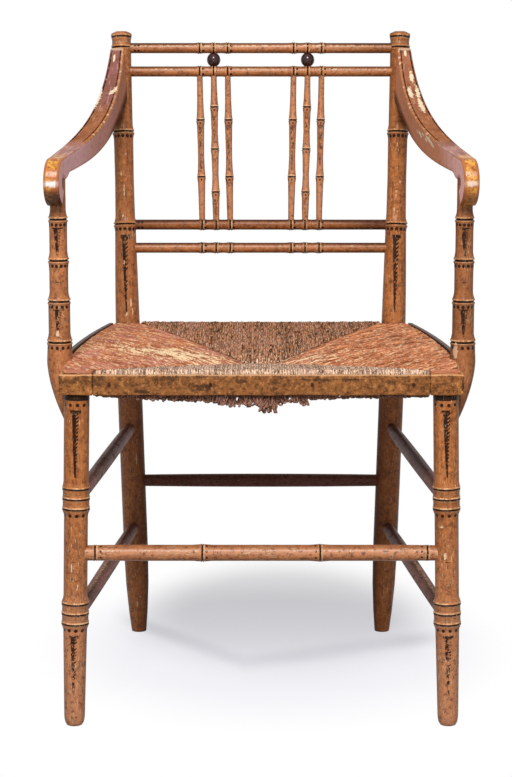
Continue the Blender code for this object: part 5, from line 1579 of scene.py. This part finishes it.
def rush_under(place, inward, share, front_slack):
    """Underside: level at the rails, hanging down to the middle, and slack under the front rail."""
    dip = share * inward
    bottom = HEM_LEVEL - BELLY * dip * dip * (3 - 2 * dip)
    if not front_slack:
        return bottom
    lumps = 0.55 + 0.30 * np.sin(place * 260) + 0.25 * np.sin(place * 431 + 2)
    hang = 0.0050 * np.exp(-((place + 0.012) / 0.085) ** 4) * lumps
    return bottom - hang * (1 - inward)


def bleach_patch(points, middle, strength):
    """Sun-bleached patch in a side section, fading out with distance from its middle."""
    across = (np.abs(points[..., 0]) - middle) / BLEACH_HALF[0]
    along = (points[..., 1] - BLEACH_Y) / BLEACH_HALF[1]
    return strength * np.exp(-(across ** 2 + along ** 2))


print("strand loops of", sum(STRAND_ROWS), "rows")

# %% Rush sections
STRAND_RELIEF = 0.0015
STRAND_CHANCE = 0.0010
RUSH_LIFT = 0.0010
SEAM_FOLD = 0.0016
ON_BLOCK_DEPTH = 0.0345
ON_BLOCK_LEVEL = 0.4449
NO_UV = np.zeros((0, 2))


def rush_section(name, low, high, strands, lay, pitch, nose, seed, finish, bleach, front_slack=False,
                 on_block=False):
    """One section: strands side by side from low to high, each a closed loop from the seam over the rail."""
    place, relief, number, part, chance = strand_columns(low, high, pitch, seed)
    seam, rail, level, seam_level, share = strands(place)
    nose = np.minimum(nose, 0.45 * (rail - seam))
    reach, height = strand_loop(seam, rail, nose)
    run = reach + 5 * nose * (1 - height)
    inward = np.clip((rail - reach) / (rail - seam), 0, 1)
    top = blend(level, seam_level, inward ** 1.3) + RUSH_LIFT
    bottom = rush_under(place, inward, share, front_slack)
    if on_block:
        bottom = np.where(place < RUSH_FRONT + ON_BLOCK_DEPTH, ON_BLOCK_LEVEL, bottom)
    fold = np.exp(-((reach - seam) / 0.0030) ** 2) * (height > 0.99)
    sink = STRAND_RELIEF * relief + STRAND_CHANCE * chance[0][number] + SEAM_FOLD * fold
    wave = 0.0005 * np.abs(np.sin(reach * 210 + 40 * chance[1][number]) * np.sin(np.pi * part))
    z = (top + bottom) / 2 + (top - bottom) / 2 * height
    z = z - np.sign(height) * np.abs(height) ** 0.5 * (sink + wave)
    reach = reach - np.sqrt(np.clip(1 - height ** 2, 0, 1)) * sink
    points = lay(np.broadcast_to(place, reach.shape), reach, z)
    faces = tube_faces(*reach.T.shape)
    outward, sideways = points[1, 0] - points[0, 0], points[0, 1] - points[0, 0]
    if np.cross(outward, sideways)[2] < 0:
        faces = [face[::-1] for face in faces]
    # The stored crease number marks painted shade between strands and at the section's two edges.
    crease = relief.copy()
    crease[[0, -1]] = 0.25
    numbers = {
        "strand": chance[2][number],
        "lane": number + part,
        "run": run,
        "crease": crease,
        "bleach": bleach_patch(points, *bleach),
        "seam": reach - seam,
    }
    stored = {key: np.broadcast_to(value, reach.shape).T for key, value in numbers.items()}
    swapped = points.transpose(1, 0, 2).reshape(-1, 3)
    add_piece(name, swapped, faces, NO_UV, stored, finish, "rush_seat")


print("rush helpers ready")


# %% Rush finish
def rush_finish(name, tones, across, length, skew, cloudy):
    """Twisted rush: every strand its own tone, slanted fibres along it, painted shade in creases, bleached
    patches.
    """
    made, shader, make, here = new_finish(name, Specular_IOR_Level=0.0)
    tan, cool, cream, shade = (rgb(*tone) for tone in tones)
    lane, run, strand, bleach = attributes(make, "lane", "run", "strand", "bleach")
    crease, seam = attributes(make, "crease", "seam")
    slanted = (lane - run * skew) * across
    own = strand * (4.0 * across ** 2)
    fibre = joined(make, slanted, run * length, own).noise(1.0, 3.0, 0.6)
    hair = joined(make, slanted * 2.2, run * length * 2.0, own).noise(1.0, 3.0, 0.65)
    cloud = here.noise(26.0, 4.0, 0.6)
    twist = abs((lane + run * 130.0 + fibre * 0.6).math("FRACT") - 0.5)
    bleached = (bleach + (fibre - 0.5) * 1.8 + (hair - 0.5) * 1.4).between(0.46, 0.62)
    colour = layered(
        fibre.between(0.36, 0.60).over(shade, tan), (strand.between(0.55, 1.0), 0.40, cool),
        (cloud.between(0.48, 0.64), cloudy, cool), (strand.between(0.35, 0.0), 0.40, shade),
        (bleached, 0.85, cream), (hair.between(0.54, 0.62), bleach * 0.9 + 0.55, cream),
        (hair.between(0.46, 0.37), 0.80, shade), (twist.between(0.14, 0.05), 0.25, shade),
        # Painted shade in the creases between strands and along the seams where sections meet.
        (crease.between(0.30, 0.95), 0.90, rgb(0.045, 0.019, 0.010)),
        (seam.between(0.0034, 0.0008), 0.55, rgb(0.08, 0.035, 0.020)),
    )
    height = twist * 0.5 + hair * 0.6 + fibre * 0.3
    feed(shader, Base_Color=colour, Roughness=0.7 + hair * 0.2, Normal=bumped(make, height, 0.7, 0.0009))
    return made


# Tan, cool, cream and shade of each rush, then its fibres across and along a strand, their slant, clouds.
RUSH_LOOKS = {
    "rush_of_left_side": (((0.71, 0.280, 0.120), (0.60, 0.250, 0.210), (1.00, 0.77, 0.47),
                           (0.33, 0.100, 0.050)), 0.46, 30.0, 230.0, 0.6),
    "rush_of_right_side": (((0.77, 0.29, 0.120), (0.65, 0.255, 0.150), (1.00, 0.77, 0.48),
                            (0.23, 0.068, 0.032)), 0.46, 30.0, 230.0, 0.5),
    "rush_of_back": (((0.66, 0.275, 0.132), (0.60, 0.295, 0.205), (1.00, 0.77, 0.54),
                      (0.045, 0.018, 0.008)), 1.3, 40.0, 0.0, 0.4),
    "rush_of_front": (((1.00, 0.63, 0.42), (1.00, 0.67, 0.52), (1.00, 0.90, 0.73),
                       (0.080, 0.034, 0.020)), 1.5, 60.0, 0.0, 0.3),
    "rush_frayed": (((0.42, 0.205, 0.135), (0.36, 0.185, 0.145), (0.64, 0.40, 0.29),
                     (0.090, 0.034, 0.020)), 0.9, 240.0, 0.0, 0.4),
}
RUSH = {name: rush_finish(name, *look) for name, look in RUSH_LOOKS.items()}
print("rush finishes:", list(RUSH))

# %% Four rush sections
BLEACH = {"left": (0.112, 0.72), "right": (0.050, 0.46)}
for word, side in SIDES.items():
    rush_section(
        f"rush_{word}", RUSH_FRONT, POST_NOTCH_Y, side_strands,
        lambda a, r, z, side=side: np.stack([side * r, a, z], -1), pitch=0.0034, nose=0.0065, seed=11 + side,
        finish=RUSH[f"rush_of_{word}_side"], bleach=BLEACH[word], on_block=True,
    )
rush_section(
    "rush_front", -BLOCK_INNER, BLOCK_INNER, front_strands, lambda a, r, z: np.stack([a, -r, z], -1),
    pitch=0.0032, nose=0.0080, seed=21, finish=RUSH["rush_of_front"], bleach=(0.0, 0.0), front_slack=True,
)
rush_section(
    "rush_back", -POST_NOTCH_X, POST_NOTCH_X, back_strands, lambda a, r, z: np.stack([a, r, z], -1),
    pitch=0.0031, nose=0.0100, seed=31, finish=RUSH["rush_of_back"], bleach=(0.0, 0.36),
)
print("rush: four sections")

# %% [markdown]
# ## Slack loops under the front
# Under the front strip the worn rush hangs down in slack loops and two tufts. A hair system would do it,
# but hair can't be kept as plain solids. Each loop is a closed tube on a bent line, and all of them are
# worked out together: place, width, depth and lean are random numbers from one fixed seed, and the depth
# follows an envelope along the seat.

# %% Lines of the slack loops
LOOP_ROWS = 14
LOOP_COUNT = 300
LOOP_TOP = 0.4215
LOOP_Y = -0.2360
LOOP_FOREMOST = -0.2400
ENVELOPE_X = (-0.200, -0.133, -0.087, -0.053, -0.036, 0.013, 0.0215, 0.035, 0.057, 0.130, 0.200)
ENVELOPE_DEPTH = (0.003, 0.009, 0.0105, 0.014, 0.018, 0.018, 0.012, 0.012, 0.0085, 0.006, 0.0045)
TUFTS = ((0.0050, 0.0075, 26, 0.0245), (0.0458, 0.0075, 18, 0.0155))


def loop_layout(rng):
    """Middle, width and depth of every loop: an even row under the edge, and two tufts."""
    row = np.linspace(ENVELOPE_X[0], ENVELOPE_X[-1], LOOP_COUNT) + rng.normal(0, 0.001, LOOP_COUNT)
    depth = np.interp(row, ENVELOPE_X, ENVELOPE_DEPTH) * rng.uniform(0.68, 0.98, LOOP_COUNT)
    middles, widths, depths = [row], [rng.uniform(0.003, 0.008, LOOP_COUNT)], [depth]
    for centre, spread, count, reach in TUFTS:
        middles.append(centre + spread * rng.uniform(-1, 1, count))
        widths.append(rng.uniform(0.002, 0.007, count))
        depths.append(reach * rng.uniform(0.5, 1.0, count))
    return [np.concatenate(part)[:, None] for part in (middles, widths, depths)]


def loop_lines(rng):
    """Centre lines (loops, rows, 3): arches upside down that lean and curl at random."""
    middle, width, depth = loop_layout(rng)
    count = len(middle)
    t = np.linspace(0, 1, LOOP_ROWS)
    hang = (4 * t * (1 - t)) ** 0.6 * depth
    lean = rng.normal(0, 0.25, (count, 1))
    curl = rng.normal(0, 0.0012, (count, 1))
    x = middle + (t - 0.5) * width + lean * hang + curl * np.sin(2 * np.pi * t)
    y = LOOP_Y + rng.uniform(-0.0035, 0.004, (count, 1)) + curl * np.cos(2 * np.pi * t)
    return np.stack([x, np.maximum(y, LOOP_FOREMOST), LOOP_TOP - hang], -1)


print("slack loops:", LOOP_COUNT, "in a row and", len(TUFTS), "tufts")

# %% Slack loops
LOOP_SIDES = 6
LOOP_SEED = 5
# Height above which the slack loops turn dark with painted shade under the strip.
LOOP_SHADE_FROM = 0.4165


def loops_piece():
    """All slack loops as one mesh of small closed tubes, each ring square to its line."""
    rng = np.random.default_rng(LOOP_SEED)
    lines = loop_lines(rng)
    count = len(lines)
    path = unit(np.gradient(lines, axis=1))
    first = unit(np.cross(path, BACKWARD))
    second = np.cross(path, first)
    angle = turns(LOOP_SIDES)
    radius = rng.uniform(0.0009, 0.0015, (count, 1, 1, 1))
    ring = np.cos(angle)[:, None] * first[:, :, None] + np.sin(angle)[:, None] * second[:, :, None]
    points = lines[:, :, None] + radius * ring
    size = LOOP_ROWS * LOOP_SIDES
    single = tube_faces(LOOP_ROWS, LOOP_SIDES)
    faces = [[corner + size * order for corner in face] for order in range(count) for face in single]
    numbers = {
        "strand": rng.random((count, 1, 1)),
        "lane": angle / 2,
        "run": np.linspace(0, 0.02, LOOP_ROWS)[:, None],
        "crease": np.clip((points[..., 2] - LOOP_SHADE_FROM) / 0.005, 0, 1),
        "bleach": 0.0,
        "seam": 1.0,
    }
    stored = {key: np.broadcast_to(value, points.shape[:3]) for key, value in numbers.items()}
    add_piece("rush_slack_loops", points.reshape(-1, 3), faces, NO_UV, stored, RUSH["rush_frayed"],
              "rush_seat")


loops_piece()
print("slack loops done")

# %% [markdown]
# ## Small hardware and hidden wood
# Nails, screws and pegs keep their CAD shapes, which are right already, and only get a finish. The seat
# rails are inside the rush and stay as bare wood.

# %% Iron, bare wood and the carried-over pieces
iron, shader, make, here = new_finish("dull_iron", Metallic=0.35, Specular_IOR_Level=0.05)
rust = here.noise(420.0, 4.0, 0.65)
feed(shader, Base_Color=rust.between(0.4, 0.65).over(rgb(0.030, 0.016, 0.010), rgb(0.10, 0.040, 0.016)))
feed(shader, Roughness=0.55 + rust * 0.3, Normal=bumped(make, rust, 0.4, 0.0003))

bare_wood, shader, make, here = new_finish("bare_wood")
grain = make.node("ShaderNodeMapping", None, {"Vector": here, "Scale": (60.0, 60.0, 200.0)}).noise(1.0, 4.0)
feed(shader, Base_Color=grain.over(rgb(0.22, 0.12, 0.055), rgb(0.42, 0.26, 0.13)))
feed(shader, Roughness=0.6 + grain * 0.2, Normal=bumped(make, grain, 0.4, 0.0004))

FINISHES = {"iron": iron, "bare_wood": bare_wood}
carried = 0
for entry in frame["record"]["subparts"]:
    held = NODES[entry["node"]]
    if entry["material_slot"] in FINISHES and not held.hide_render:
        held.data.materials.clear()
        held.data.materials.append(FINISHES[entry["material_slot"]])
        carried += 1
print("carried over with a new finish:", carried)
